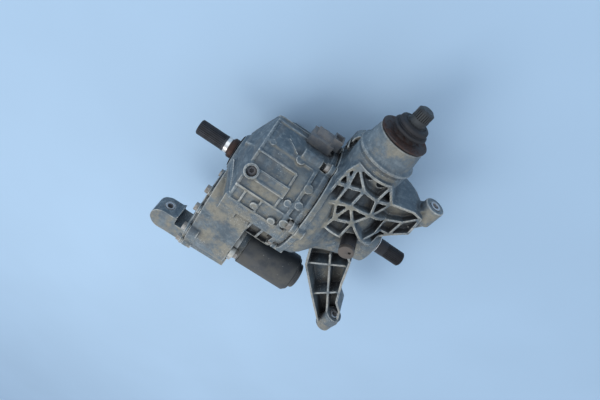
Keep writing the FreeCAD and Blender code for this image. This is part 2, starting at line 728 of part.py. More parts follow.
def carrier_housing():
    """The right casting: bell, pinion neck, rib lattice, rear arm and front arm."""
    bell = turned("bell", [
        ("-seam", "0"), ("-seam", "bell_radius + 1"), ("-seam + flange_depth", "bell_radius + 1"),
        ("-seam + flange_depth + 2", "bell_radius - 2"), ("-24", "bell_radius - 4"), ("-14", "84"), ("2", "67"),
        ("20", "58"), ("50", "49"), ("nose_right - 6", "nose_radius + 11"),
        ("nose_right", "nose_radius + 10"), ("nose_right", "0")])
    neck = turned("neck", [
        ("20", "0"), ("20", "48"), ("84", "42.5"), ("112", "42"), ("124", "neck_radius"),
        ("neck_ridge - 9", "neck_radius"), ("neck_ridge - 7", "neck_radius - 2.5"),
        ("neck_ridge - 4", "neck_radius - 2.5"), ("neck_ridge - 2", "neck_radius + 2.5"),
        ("neck_ridge + 2", "neck_radius + 2.5"), ("neck_ridge + 5", "neck_radius - 2.5"),
        ("neck_end - 3", "neck_end_radius"),
        ("neck_end", "neck_end_radius - 1"), ("neck_end", "0")])
    settle(neck, ("0", "0", "0"), X_TO_Y)
    belly = sump("bell_belly", "belly_width", ("-seam", "18", "40"))
    post = rod("vent_post", "10.5", "50", ("36", "21", "28"), Rotation())
    rear_boss = rod("rear_boss", "rear_arm_radius", "rear_arm_length",
                    ("rear_arm_x", "-rear_arm_y - rear_arm_length / 2", "rear_arm_z"), ALONG_Y)
    front_boss = rod("front_boss", "front_arm_radius", "front_arm_length",
                     ("front_arm_x", "front_arm_y - front_arm_length + 17", "0"), ALONG_Y)
    bell_hollow = turned("bell_hollow", [
        ("-seam - 1", "0"), ("-seam - 1", "bell_radius - bell_wall"),
        ("-26", "bell_radius - bell_wall - 3"), ("-20", "78"), ("0", "60"), ("20", "50"), ("34", "43.5"),
        ("38", "side_cup + 8"),
        ("right_bearing_inner", "side_cup + 5"), ("right_bearing_inner", "side_cup"),
        ("right_bearing_inner + side_width", "side_cup"), ("right_bearing_inner + side_width", "20"),
        ("nose_right - seal_depth", "20"), ("nose_right - seal_depth", "seal_outer"),
        ("nose_right + 1", "seal_outer"), ("nose_right + 1", "0")])
    neck_hollow = turned("neck_hollow", [
        ("20", "0"), ("20", "head_cup + 2"), ("head_bearing", "head_cup + 2"), ("head_bearing", "head_cup"),
        ("head_bearing + head_width", "head_cup"), ("head_bearing + head_width", "head_cup - 7"),
        ("front_bearing", "head_cup - 7"), ("front_bearing", "front_cup"),
        ("front_bearing + front_width", "front_cup"), ("front_bearing + front_width", "24"),
        ("neck_end - seal_depth", "24"), ("neck_end - seal_depth", "27"), ("neck_end + 1", "27"),
        ("neck_end + 1", "0")])
    settle(neck_hollow, ("0", "0", "0"), X_TO_Y)
    rear_hole = rod("rear_hole", "arm_bore + 3.5", "2 * rear_arm_length",
                    ("rear_arm_x", "-rear_arm_y - rear_arm_length", "rear_arm_z"), ALONG_Y)
    front_hole = rod("front_hole", "arm_bore + 3.5", "3 * front_arm_length",
                     ("front_arm_x", "front_arm_y - 1.5 * front_arm_length", "0"), ALONG_Y)
    pits = [rod("neck_pit_left", "6", "20", ("-8", "129", "36"), Rotation()),
            rod("neck_pit_right", "6", "20", ("13", "127", "34"), Rotation())]
    holes = bolt_holes("bell_seam_hole", SEAM_BOLTS, "-seam - 1", "13")
    lugs = [rod(f"bell_lug_{number}", "9.5", "14", ("-seam", *spot)) for number, spot in enumerate(SEAM_BOLTS)]
    trim = block("seam_trim", ("40", "400", "400"), ("-seam - 40", "-200", "-200"))
    outside = joined("bell_outside", [bell, neck, belly, post, rear_boss, front_boss, lattice(),
                                      gusset(), rear_arm()] + lugs)
    hollows = [bell_hollow, neck_hollow, rear_hole, front_hole, trim]
    keep(cut("carrier_housing", outside, hollows + pits + holes))


def hexagon(across, height):
    """A hexagonal prism standing on the origin."""
    corners = [Vector(across / math.sqrt(3) * math.cos(step * math.pi / 3),
                      across / math.sqrt(3) * math.sin(step * math.pi / 3), 0) for step in range(7)]
    return Part.Face(Part.makePolygon(corners)).extrude(Vector(0, 0, height))


def bolt_shape(length):
    """A flanged hexagon bolt, head below the origin's plane, shank along +Z."""
    height = size("head_height")
    head = hexagon(size("head_across"), height)
    head.translate(Vector(0, 0, -height))
    collar = Part.makeCylinder(size("head_across") * 0.56, height / 4, Vector(0, 0, -height / 4))
    shank = Part.makeCylinder(size("bolt_radius"), length)
    return head.fuse([collar, shank]).removeSplitter()


def bolts(name, spots, start, length):
    """A group of equal bolts driven along +X from one station."""
    shapes = []
    for across, up in spots:
        bolt = bolt_shape(size(length))
        bolt.Placement = Placement(formula_point((start, across, up)), ALONG_X)
        shapes.append(bolt)
    return keep(shaped(name, Part.makeCompound(shapes)))


def revolve_shape(points):
    """Revolve an outline of (along the axis, radius) about the X axis."""
    corners = [Vector(along, radius, 0) for along, radius in points]
    face = Part.Face(Part.makePolygon(corners + corners[:1]))
    return face.revolve(Vector(0, 0, 0), AXES["x"], 360)


def taper_bearing(name, cup, journal, width, start, turn, along):
    """A tapered roller bearing: an outer cup, and a cone with its rollers. Wide end first."""
    deep = size(f"{cup} - {journal}")
    long = size(width)
    middle = size(journal) + deep * 0.54
    roller = deep * 0.19
    fall = math.tan(math.radians(12))

    def line(along_axis, offset):
        return middle + offset / math.cos(math.radians(12)) - fall * (along_axis - long / 2)

    gap = size("cup_gap")
    outer = revolve_shape([(0, line(0, roller + gap)), (0, size(cup)), (long, size(cup)),
                           (long, line(long, roller + gap))])
    inner = revolve_shape([(0.5, size(journal) + 0.02), (0.5, line(0.5, -roller - 0.05)),
                           (long - 0.5, line(long - 0.5, -roller - 0.05)), (long - 0.5, size(journal) + 0.02)])
    count = int(math.pi * middle / roller / 2.4)
    rollers = []
    for step in range(count):
        one = Part.makeCylinder(roller, long - 4)
        one.Placement = Placement(Vector(2, line(2, 0), 0), Rotation(Vector(0, 0, 1), Vector(1, -fall, 0)))
        rollers.append(one.rotated(Vector(0, 0, 0), AXES["x"], 360 * step / count))
    place = [start if axis == along else "0" for axis in "xyz"]
    keep(shaped(name + "_cup", outer), place, turn)
    keep(shaped(name + "_cone", Part.makeCompound([inner] + rollers)), place, turn)


FLIP_X = Rotation(Vector(0, 0, 1), 180)


def bearings():
    taper_bearing("left_carrier_bearing", "side_cup", "side_journal", "side_width",
                  "-left_bearing_inner", FLIP_X, "x")
    taper_bearing("right_carrier_bearing", "side_cup", "side_journal", "side_width",
                  "right_bearing_inner", Rotation(), "x")
    taper_bearing("pinion_head_bearing", "head_cup", "head_journal", "head_width",
                  "head_bearing", X_TO_Y, "y")
    taper_bearing("pinion_front_bearing", "front_cup", "front_journal", "front_width",
                  "front_bearing + front_width", Rotation(Vector(0, 0, 1), -90), "y")
    end = "-reaction_face + 3"
    start = f"{end} - ball_bearing_width"
    outer = "ball_bearing_outer"
    keep(ring("output_bearing_outer", start, end, f"{outer} - 4.5", outer))
    inner = ring("output_bearing_race", start, end, "journal_radius + 1.02", "journal_radius + 5.5")
    middle = size(f"({outer} - 4.5 + journal_radius + 5.5) / 2")
    reach = size(f"({outer} - 4.5 - journal_radius - 5.5) / 2") - 0.2
    station = size(f"{end} - ball_bearing_width / 2")
    balls = [Part.makeSphere(reach, Vector(station, middle * math.cos(step * math.pi / 4),
                                           middle * math.sin(step * math.pi / 4))) for step in range(8)]
    keep(compound("output_bearing_inner", [inner, shaped("output_balls", Part.makeCompound(balls))]))


def compound(name, items):
    item = doc.addObject("Part::Compound", name)
    item.Links = items
    return item


def bevel_gear(name, teeth, mate, module, face, slack, gap_first, blank):
    """Teeth fused on a turned blank; blank gets the outer and inner root points."""
    cogs, outer, inner = bevel_shape(int(size(teeth)), int(size(mate)), size(module), size(face), slack,
                                     gap_first)
    return shaped(name, revolve_shape(blank(outer, inner)).fuse(cogs).removeSplitter())


def pinion():
    """The drive pinion, its sleeve, nut, shield and boot."""
    shaft_start = "head_bearing - 3"
    blank = lambda outer, inner: [(inner.x, 0), (inner.x, inner.y), (outer.x, outer.y),
                                  (size("head_bearing - 3"), outer.y), (size("head_bearing - 3"), 0)]
    head = bevel_gear("pinion_head", "pinion_teeth", "ring_teeth", "drive_module", "drive_face", 0.2, True,
                      blank)
    shaft = turned("pinion_stem", [
        (shaft_start, "0"), (shaft_start, "head_journal + 5"), ("head_bearing + 0.4", "head_journal + 5"),
        ("head_bearing + 0.4", "head_journal"), ("head_bearing + head_width", "head_journal"),
        ("head_bearing + head_width", "front_journal"), ("front_bearing + front_width + 12", "front_journal"),
        ("front_bearing + front_width + 12", "front_journal - 1"), ("neck_end + 28", "front_journal - 1"),
        ("neck_end + 28", "pinion_land_radius"), ("pinion_reach - pinion_spline_length", "pinion_land_radius"),
        ("pinion_reach - pinion_spline_length", "pinion_stub"), ("pinion_reach - 3", "pinion_stub"),
        ("pinion_reach", "pinion_stub - 4"),
        ("pinion_reach", "0")])
    grooved(shaft, "pinion_spline_teeth", "pinion_stub", "spline_depth",
            "pinion_reach - pinion_spline_length", "pinion_spline_length + 1")
    keep(joined("pinion_shaft", [head, shaft]), turn=X_TO_Y)
    keep(ring("crush_sleeve", "head_bearing + head_width + 0.2", "front_bearing - 0.2",
              "front_journal + 0.1", "front_journal + 3"), turn=X_TO_Y)
    nut = hexagon(40, 8).cut(Part.makeCylinder(size("front_journal") + 0.1, 20))
    keep(shaped("pinion_nut", nut), ("0", "front_bearing + front_width + 0.3", "0"), ALONG_Y)
    keep(turned("dust_shield", [
        ("neck_end + 2", "front_journal - 0.9"), ("neck_end + 2", "neck_end_radius"),
        ("neck_end + 5", "neck_end_radius + 0.5"), ("neck_end + 5", "neck_end_radius - 2"),
        ("neck_end + 4.5", "front_journal + 4"), ("neck_end + 12", "front_journal + 2"),
        ("neck_end + 12", "front_journal - 0.9")]), turn=X_TO_Y)
    keep(turned("pinion_boot", [
        ("neck_end + 12.3", "front_journal - 0.7"), ("neck_end + 12.3", "front_journal + 9"),
        ("neck_end + 15", "27"), ("neck_end + 18", "26.5"), ("neck_end + 18.5", "22"), ("neck_end + 21.5", "22"),
        ("neck_end + 22", "23.5"), ("neck_end + 26", "22.5"), ("neck_end + 28", "17.5"),
        ("neck_end + 28", "front_journal - 0.7")]), turn=X_TO_Y)
    keep(ring("pinion_seal", "neck_end - seal_depth", "neck_end", "front_journal - 0.7", "27"), turn=X_TO_Y)


def differential():
    """Ring gear, differential case, cross pin, spider gears and side gears."""
    blank = lambda outer, inner: [(inner.x, size("ring_bore")), (inner.x, inner.y), (outer.x, outer.y),
                                  (size("ring_back"), outer.y), (size("ring_back"), size("ring_bore"))]
    crown = bevel_gear("crown", "ring_teeth", "pinion_teeth", "drive_module", "drive_face", 0.2, False, blank)
    settle(crown, ("0", "0", "0"), Rotation(Vector(0, 1, 0), 180))
    spots = [around("case_flange - 6", degrees) for degrees in range(0, 360, 45)]
    holes = [rod(f"crown_hole_{number}", "bolt_radius + 0.1", "12", ("-ring_back", *spot))
             for number, spot in enumerate(spots)]
    keep(cut("ring_gear", crown, holes))
    flange_face = "-ring_back - case_flange_depth"
    case = turned("case_blank", [
        ("-left_bearing_inner - side_width", "shaft_radius + 1"),
        ("-left_bearing_inner - side_width", "side_journal"),
        ("-left_bearing_inner + 0.3", "side_journal"), ("-left_bearing_inner + 0.3", "side_journal + 5"),
        (flange_face, "side_journal + 7"), (flange_face, "case_flange"), ("-ring_back", "case_flange"),
        ("-ring_back", "ring_bore - 0.02"), ("-ring_back + 9", "ring_bore - 0.02"),
        ("-ring_back + 11", "case_radius"), ("case_radius - 12", "case_radius"),
        ("right_bearing_inner - 6", "side_journal + 8"), ("right_bearing_inner - 0.3", "side_journal + 5"),
        ("right_bearing_inner - 0.3", "side_journal"), ("right_bearing_inner + side_width", "side_journal"),
        ("right_bearing_inner + side_width", "shaft_radius + 1"), ("28", "shaft_radius + 1"),
        ("28", "case_hollow - 5"), ("22", "case_hollow"), ("-22", "case_hollow"), ("-28", "case_hollow - 5"),
        ("-28", "shaft_radius + 1")])
    window = rod("case_window", "17", "4 * case_radius", ("0", "-2 * case_radius", "0"), ALONG_Y)
    pin_hole = rod("case_pin_hole", "pin_radius + 0.02", "4 * case_radius",
                   ("0", "0", "-2 * case_radius"), Rotation())
    flange_holes = bolt_holes("case_hole", spots, f"{flange_face} - 1", "case_flange_depth + 2")
    keep(cut("differential_case", case, [window, pin_hole] + flange_holes))
    bolts("ring_gear_bolts", spots, flange_face, "case_flange_depth + 10")
    keep(rod("cross_pin", "pin_radius", "2 * case_radius - 1", ("0", "0", "0"), Rotation()),
         ("0", "0", "-case_radius + 0.5"))
    bore = size("shaft_radius") + 0.02
    side_blank = lambda outer, inner: [(inner.x, bore), (inner.x, inner.y), (outer.x, outer.y),
                                       (27.7, outer.y), (27.7, bore)]
    for name, turn in (("right_side_gear", Rotation()), ("left_side_gear", Rotation(Vector(0, 1, 0), 180))):
        gear = bevel_gear(name, "side_teeth", "spider_teeth", "spider_module", "spider_face", 0.12, False,
                          side_blank)
        keep(gear, turn=turn)
    hole = size("pin_radius") + 0.1
    spider_blank = lambda outer, inner: [(inner.x, hole), (inner.x, inner.y), (outer.x, outer.y),
                                         (30, 15), (32.9, hole + 0.8), (32.9, hole)]
    up = Rotation(Vector(1, 1, 1), -120)
    down = Rotation(Vector(0, 1, 0), 180).multiply(up)
    for name, turn in (("upper_spider_gear", up), ("lower_spider_gear", down)):
        gear = bevel_gear(name, "spider_teeth", "side_teeth", "spider_module", "spider_face", 0.12, True,
                          spider_blank)
        keep(gear, turn=turn)


def output_shaft(name, reach, spline, inner_end, seal_face):
    """A splined stub with its land and collar, running in from the left end."""
    collar = f"-({seal_face}) - 3"
    shaft = turned(name, [
        (f"-{reach}", "0"), (f"-{reach}", "stub_radius - stub_chamfer"),
        (f"-{reach} + stub_chamfer", "stub_radius"), (f"-{reach} + {spline}", "stub_radius"),
        (f"-{reach} + {spline}", "land_radius"), (f"{collar} - collar_length", "land_radius"),
        (f"{collar} - collar_length", "collar_radius - 1.5"), (f"{collar} - collar_length + 2", "collar_radius"),
        (collar, "collar_radius"), (collar, "journal_radius + 1"),
        (f"-({seal_face}) + 26", "journal_radius + 1"), (f"-({seal_face}) + 26", "shaft_radius"),
        (f"-{inner_end}", "shaft_radius"), (f"-{inner_end}", "0")])
    return grooved(shaft, "spline_teeth", "stub_radius", "spline_depth", f"-{reach} - 1", f"{spline} + 1")


def shafts():
    keep(output_shaft("left_output_shaft", "left_reach", "spline_length", "106", "nose_left"))
    keep(output_shaft("right_output_shaft", "right_reach", "right_spline_length", "inner_end", "nose_right"),
         turn=Rotation(Vector(0, 0, 1), 180))
    drive = rod("left_drive_shaft", "shaft_radius", "104 - inner_end", ("-104", "0", "0"))
    keep(drive, ("-104", "0", "0"), ALONG_X)
    for name, face, turn in (("left_output_seal", "nose_left", Rotation()),
                             ("right_output_seal", "nose_right", Rotation(Vector(0, 0, 1), 180))):
        keep(turned(name, [
            (f"-{face} + seal_depth - 1", "journal_radius + 1.3"), (f"-{face} + seal_depth - 1", "seal_outer"),
            (f"-{face}", "seal_outer"), (f"-{face} - 1.5", "seal_outer + 2"),
            (f"-{face} - 2.6", "seal_outer - 3"), (f"-{face} - 2.6", "journal_radius + 1.3")]), turn=turn)


def tabbed_ring(bore, outer, tab_from, tab_to):
    """A plate with tabs that slide in the slots of a drum or a hub."""
    thick = size("plate_thick")
    width = size("slot_width") - 0.6
    tabs = int(size("drum_slots / 2"))
    plate = Part.makeCylinder(outer, thick).cut(Part.makeCylinder(bore, thick))
    tools = []
    for step in range(tabs):
        tab = Part.makeBox(tab_to - tab_from, width, thick, Vector(tab_from, -width / 2, 0))
        tools.append(tab.rotated(Vector(0, 0, 0), AXES["z"], 360 * step / tabs))
    return plate.fuse(tools).removeSplitter()


def plate_pack(name, first, plate):
    """Every second plate of the clutch pack, from one station on."""
    pitch = 2 * size("plate_thick + plate_gap")
    shapes = []
    for step in range(int(size("plates"))):
        one = plate.copy()
        one.Placement = Placement(Vector(first + step * pitch, 0, 0), IN_YZ)
        shapes.append(one)
    keep(shaped(name, Part.makeCompound(shapes)))


PACK_LENGTH = "(2 * plates * (plate_thick + plate_gap))"
DRUM_FLOOR = f"(-pack_start + {PACK_LENGTH})"


def slot_bars(name, station, length, reach):
    """Bars across the axle, one for each pair of slots, reach to each side of it."""
    bars = []
    for number in range(3):
        angle = 60 * number + 90
        bar = block(f"{name}_{number}", (length, "slot_width", f"2 * {reach}"), ("0", "0", "0"))
        settle(bar, (station, f"-slot_width / 2 * cos({angle}) + {reach} * sin({angle})",
                     f"-slot_width / 2 * sin({angle}) - {reach} * cos({angle})"), Rotation(AXES["x"], angle))
        bars.append(bar)
    return bars


def clutch():
    """Drum, hub, plates, pressure plate and spring of the left output clutch."""
    drum = turned("drum_blank", [
        ("-drum_open", "drum_bore"), ("-drum_open", "drum_skin"), (f"{DRUM_FLOOR} + drum_floor", "drum_skin"),
        (f"{DRUM_FLOOR} + drum_floor", "drum_bore - 4"), (f"{DRUM_FLOOR} + drum_floor", "17"),
        ("-88", "17"), ("-88", "shaft_radius + 0.02"), (DRUM_FLOOR, "shaft_radius + 0.02"),
        (DRUM_FLOOR, "drum_bore")])
    slots = slot_bars("drum_slot", "-drum_open - 0.5", f"drum_open + {DRUM_FLOOR}", "2 * drum_skin")
    keep(cut("clutch_drum", drum, slots))
    steel = tabbed_ring(size("steel_inner"), size("drum_bore - 0.4"), size("drum_bore - 6"),
                        size("drum_skin - 1"))
    plate_pack("steel_plates", size("-pack_start"), steel)
    friction = tabbed_ring(size("hub_outer + 0.4"), size("friction_outer"), size("hub_outer - 4"),
                           size("hub_outer + 2"))
    plate_pack("friction_plates", size("-pack_start + plate_thick + plate_gap"), friction)
    hub = turned("hub_blank", [
        ("-pack_start + 0.3", "hub_outer - 6"), ("-pack_start + 0.3", "hub_outer"),
        (f"{DRUM_FLOOR} - 0.8", "hub_outer"), (f"{DRUM_FLOOR} - 0.8", "hub_outer - 6"),
        ("-114", "hub_outer - 6"), ("-114", "19"), ("-107", "19"), ("-107", "shaft_radius + 0.02"),
        ("-128", "shaft_radius + 0.02"), ("-128", "19"), ("-120", "19"), ("-120", "hub_outer - 6")])
    slots = slot_bars("hub_slot", "-pack_start - 1", "40", "50")
    core = rod("hub_core", "hub_outer - 4.5", "40", ("-pack_start - 1", "0", "0"))
    keep(cut("clutch_hub", hub, [cut("hub_slots", joined("hub_slot_bars", slots), [core])]))
    face = "-pack_start - stroke - 0.7"
    keep(ring("pressure_plate", f"{face} - 5", face, "36", "drum_bore - 0.5"))
    keep(ring("return_spring", "-pack_start - spring_thick", "-pack_start", "37", "44"))


def actuator():
    """Ramp ring, pressure ring, balls, gears, motor and thrust bearings."""
    face = "-pack_start - stroke - 5.7"
    keep(ring("pressure_bearing", f"{face} - 3.2", f"{face} - 0.1", "44", "58"))
    right = f"({face} - 3.4)"
    left = f"({right} - 6)"
    ring_blank = ring("pressure_ring_blank", left, right, "ramp_inner", "ramp_outer")
    lug = block("pressure_lug", ("6", "76.5 - ramp_outer + 2", "10"), (left, "ramp_outer - 2", "-5"))
    middle = size("(ramp_inner + ramp_outer) / 2")
    station = size(left) - 1.5
    radius = size("ball_radius")
    spots = [Vector(station, middle * math.cos(angle), middle * math.sin(angle))
             for angle in (math.radians(40), math.radians(160), math.radians(280))]
    seats = shaped("ball_seats", Part.makeCompound([Part.makeSphere(radius + 0.15, spot) for spot in spots]))
    keep(cut("pressure_ring", joined("pressure_ring_all", [ring_blank, lug]), [seats]))
    keep(shaped("ramp_balls", Part.makeCompound([Part.makeSphere(radius, spot) for spot in spots])))
    ramp_left = "-reaction_face + 4"
    ramp_right = f"({left} - 3)"
    keep(ring("ramp_bearing", "-reaction_face + 0.1", "-reaction_face + 3.8", "42", "58"))
    blank = ring("ramp_blank", ramp_left, ramp_right, "ramp_inner", "ramp_outer")
    face_shape = spur_face(int(size("sector_teeth")), size("train_module"), 0.06, -10, 3,
                           size("ramp_outer") - 1)
    sector = shaped("sector", face_shape.extrude(Vector(0, 0, 6)))
    settle(sector, (f"{ramp_right} - 6", "0", "0"), Rotation(AXES["x"], size("idler_angle")).multiply(IN_YZ))
    lean = math.degrees(math.asin(size("stroke") / middle / math.sin(math.radians(size("ramp_turn")))))
    grooves = []
    for number, angle in enumerate((40, 160, 280)):
        groove = doc.addObject("Part::Torus", f"ramp_groove_{number}")
        bind(groove, Radius1="(ramp_inner + ramp_outer) / 2", Radius2="ball_radius + 0.3",
             Angle3="ramp_turn + 12")
        turn = Rotation(AXES["x"], angle).multiply(IN_YZ).multiply(Rotation(AXES["x"], -lean))
        turn = turn.multiply(Rotation(AXES["z"], -size("ramp_turn") - 6))
        settle(groove, (f"{left} - 1.5", "0", "0"), turn)
        grooves.append(groove)
    keep(cut("ramp_ring", joined("ramp_all", [blank, sector]), grooves))
    small = spur_face(int(size("idler_small")), size("train_module"), 0.06)
    large = spur_face(int(size("idler_large")), size("train_module"), 0.06)
    small_turn = size("idler_angle + 180 + 180 / idler_small")
    small_part = small.extrude(Vector(0, 0, 8)).rotated(Vector(0, 0, 0), AXES["z"], small_turn)
    large_part = large.extrude(Vector(0, 0, 5)).rotated(Vector(0, 0, 0), AXES["z"], size("motor_angle"))
    large_part.translate(Vector(0, 0, 8.5))
    neck = Part.makeCylinder(9, 1, Vector(0, 0, 7.8))
    bore = Part.makeCylinder(5.08, 40, Vector(0, 0, -5))
    gear = small_part.fuse([large_part, neck]).cut(bore).removeSplitter()
    keep(shaped("idler_gear", gear), (f"{ramp_right} - 7", IDLER_Y, IDLER_Z), IN_YZ)
    keep(rod("idler_pin", "5", "40", ("0", "0", "0")), ("-drum_left - 12", IDLER_Y, IDLER_Z), ALONG_X)
    pinion_face = spur_face(int(size("motor_teeth")), size("train_module"), 0.06)
    cog_turn = size("motor_angle + 180 + 180 / motor_teeth")
    cog = pinion_face.extrude(Vector(0, 0, 7)).rotated(Vector(0, 0, 0), AXES["z"], cog_turn)
    spindle = Part.makeCylinder(5, 145)
    armature = Part.makeCylinder(24, 56, Vector(0, 0, 86))
    commutator = Part.makeCylinder(12, 14, Vector(0, 0, 72))
    rotor = cog.fuse([spindle, armature, commutator]).removeSplitter()
    keep(shaped("motor_rotor", rotor), (f"{ramp_right} + 0.5", MOTOR_Y, MOTOR_Z), IN_YZ)
    can = turned("can_blank", [
        ("-motor_left", "5.06"), ("-motor_left", "motor_radius"), ("motor_right - 3", "motor_radius"),
        ("motor_right", "motor_radius - 3"), ("motor_right", "motor_radius - 5"),
        ("-motor_left + 4", "motor_radius - 5"), ("-motor_left + 4", "5.06")])
    keep(joined_one("motor_body", can), ("0", MOTOR_Y, MOTOR_Z))
    cap = turned("motor_end_cap", [
        ("motor_right + 0.1", "0"), ("motor_right + 0.1", "motor_radius - 3.5"),
        ("motor_right + 2.5", "motor_radius - 4"), ("motor_right + 3", "cap_radius"),
        ("motor_right + cap_depth - 2", "cap_radius"), ("motor_right + cap_depth", "cap_radius - 2"), ("motor_right + cap_depth", "0")])
    keep(cap, ("0", MOTOR_Y, MOTOR_Z))
    plate = rod("motor_plate", "motor_radius + 4", "9", ("-case_right", MOTOR_Y, MOTOR_Z))
    waist = rod("motor_waist", "motor_radius - 3", "case_right - motor_left - 0.1",
                ("-case_right", MOTOR_Y, MOTOR_Z))
    lugs = [rod(f"motor_lug_{number}", "9", "9", ("-case_right", *spot))
            for number, spot in enumerate(MOTOR_BOLTS)]
    eye = rod("motor_plate_eye", "5.06", "40", ("-case_right - 10", MOTOR_Y, MOTOR_Z))
    spigot = rod("motor_spigot", "21.9", "8", ("-case_right - 8", MOTOR_Y, MOTOR_Z))
    holes = bolt_holes("motor_hole", MOTOR_BOLTS, "-case_right - 1", "12")
    keep(cut("motor_flange", joined("motor_plate_all", [plate, waist, spigot] + lugs), [eye] + holes))


def joined_one(name, item):
    """A single-piece copy under another name."""
    single = doc.addObject("Part::Refine", name)
    single.Source = item
    return single


def mount_sleeve(name, length, place):
    """A steel sleeve pressed in an arm's boss, bored along Y."""
    outer = doc.addObject("Part::Cylinder", name + "_outside")
    bind(outer, Radius="arm_bore + 3.48", Height=length)
    inner = doc.addObject("Part::Cylinder", name + "_bore")
    bind(inner, Radius="arm_bore", Height=length)
    sleeve = doc.addObject("Part::Cut", name)
    sleeve.Base = outer
    sleeve.Tool = inner
    keep(sleeve, place, ALONG_Y)


def fittings():
    """Bolts, plugs, vent, mount sleeves and the sensor."""
    bolts("cover_bolts", COVER_BOLTS, "-case_left - lid_depth", "lid_depth + 14")
    bolts("seam_bolts", SEAM_BOLTS, "-seam - flange_depth", "flange_depth + 11")
    motor = []
    for spot in MOTOR_BOLTS:
        bolt = bolt_shape(20)
        bolt.Placement = Placement(formula_point(("-case_right + 9", *spot)), Rotation(AXES["y"], -90))
        motor.append(bolt)
    keep(shaped("motor_bolts", Part.makeCompound(motor)))
    mount_sleeve("left_mount_sleeve", "2 * left_arm_radius",
                 ("-left_arm_x", "-left_arm_y - left_arm_radius", "left_arm_z"))
    mount_sleeve("rear_mount_sleeve", "rear_arm_length + 1",
                 ("rear_arm_x", "-rear_arm_y - rear_arm_length / 2 - 0.5", "rear_arm_z"))
    mount_sleeve("front_mount_sleeve", "front_arm_length + 1",
                 ("front_arm_x", "front_arm_y - front_arm_length + 16.5", "0"))
    plug = Part.makeCylinder(7.75, 10).cut(hexagon(6, 6).translated(Vector(0, 0, 5)))
    keep(shaped("fill_plug", plug), ("-drum_left + 8", "75.5 * cos(59)", "75.5 * sin(59)"),
         Rotation(AXES["x"], -31))
    cap = Part.makeCylinder(12.5, 7).cut(Part.makeCylinder(2.2, 5, Vector(4.5, 3, 4)))
    keep(shaped("vent_cap", cap), ("36", "21", "78.1"))
    module = Part.makeBox(40, 22, 30, Vector(-104, 79, -38))
    coil = Part.makeCylinder(11, 34, Vector(-98, 98, -28), AXES["x"])
    socket = Part.makeBox(16, 20, 20, Vector(-72, 94, -34)).cut(Part.makeBox(12, 16, 14, Vector(-70, 101, -31)))
    drum = Part.makeCylinder(size("drum_outer") + 0.02, 200, Vector(-200, 0, 0), AXES["x"])
    keep(shaped("sensor_module", module.fuse([coil, socket]).cut(drum).removeSplitter()))
    slope = "belly_flare / (axle_height - belly_top)"
    keep(shaped("drain_plug", hexagon(15, 7)),
         ("-14", f"-belly_width / 2 - 0.12 - (axle_height - drain_height) * {slope}", "-drain_height"),
         Rotation(AXES["x"], 90 + math.degrees(math.atan(size(slope)))))


end_cover()
clutch_housing()
bulkhead()
carrier_housing()
bearings()
pinion()
differential()
shafts()
clutch()
actuator()
fittings()

doc.recompute()


def check_all():
    """Stop when an object failed or a node has no sound shape."""
    for item in doc.Objects:
        if {"Invalid", "Error"} & set(item.State):
            raise RuntimeError(f"{item.Label}: {item.State} {item.getStatusString()}")
    for item in NODES:
        if item.Shape.isNull() or not item.Shape.isValid():
            raise RuntimeError(f"{item.Label} has no sound shape")


check_all()
os.makedirs("parts", exist_ok=True)
for item in NODES:
    item.Shape.exportStep(f"parts/{item.Label}.step")
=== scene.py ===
import json
import math

import bmesh
import bpy
from mathutils import Matrix, Vector, noise


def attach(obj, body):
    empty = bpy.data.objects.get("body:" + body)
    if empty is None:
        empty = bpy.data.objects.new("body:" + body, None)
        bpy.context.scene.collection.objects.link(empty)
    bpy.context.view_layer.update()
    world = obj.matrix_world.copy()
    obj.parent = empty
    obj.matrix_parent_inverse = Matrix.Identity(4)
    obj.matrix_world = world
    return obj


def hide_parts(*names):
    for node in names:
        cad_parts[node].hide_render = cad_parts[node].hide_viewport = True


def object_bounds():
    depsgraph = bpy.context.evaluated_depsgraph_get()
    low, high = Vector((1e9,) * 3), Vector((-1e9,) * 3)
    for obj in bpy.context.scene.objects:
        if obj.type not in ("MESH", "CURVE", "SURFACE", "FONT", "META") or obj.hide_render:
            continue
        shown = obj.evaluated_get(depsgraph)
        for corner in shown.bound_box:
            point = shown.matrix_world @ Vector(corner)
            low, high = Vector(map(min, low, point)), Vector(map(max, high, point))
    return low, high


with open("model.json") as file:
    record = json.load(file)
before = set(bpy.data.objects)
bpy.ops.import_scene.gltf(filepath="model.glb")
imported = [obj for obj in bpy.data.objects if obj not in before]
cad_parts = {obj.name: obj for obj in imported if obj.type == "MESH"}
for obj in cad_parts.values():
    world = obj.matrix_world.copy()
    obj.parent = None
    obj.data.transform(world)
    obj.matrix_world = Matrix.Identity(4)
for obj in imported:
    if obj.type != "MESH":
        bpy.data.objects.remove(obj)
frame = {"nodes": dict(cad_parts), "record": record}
cad_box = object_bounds()
nodes = frame["nodes"]
slot_of = {part["node"]: part["material_slot"] for part in frame["record"]["subparts"]}
bodies = frame["record"]["behaviour"]["bodies"]
body_of = {name: body for body, names in bodies.items() for name in names}

# Sizes in mm, apart from MM itself

MM = 0.001
AXLE_HEIGHT = 104
DRUM = 85
DRUM_SUNK = 4
LATTICE_WIDE = 88
LATTICE_NARROWING = 40
LATTICE_START = 14
LATTICE_LONG = 127
LATTICE_PROUD = 0.6
LATTICE_DEEP = 15
ARM_START = 58
ARM_TOP = 34
ARM_FALL = 13
ARM_LONG = 47
WEB_HALF = 3.5
WEB_TOP = 13

# Node trees


def new_item(name, mesh):
    """An object of a mesh, in the scene."""
    item = bpy.data.objects.new(name, mesh)
    bpy.context.scene.collection.objects.link(item)
    return item


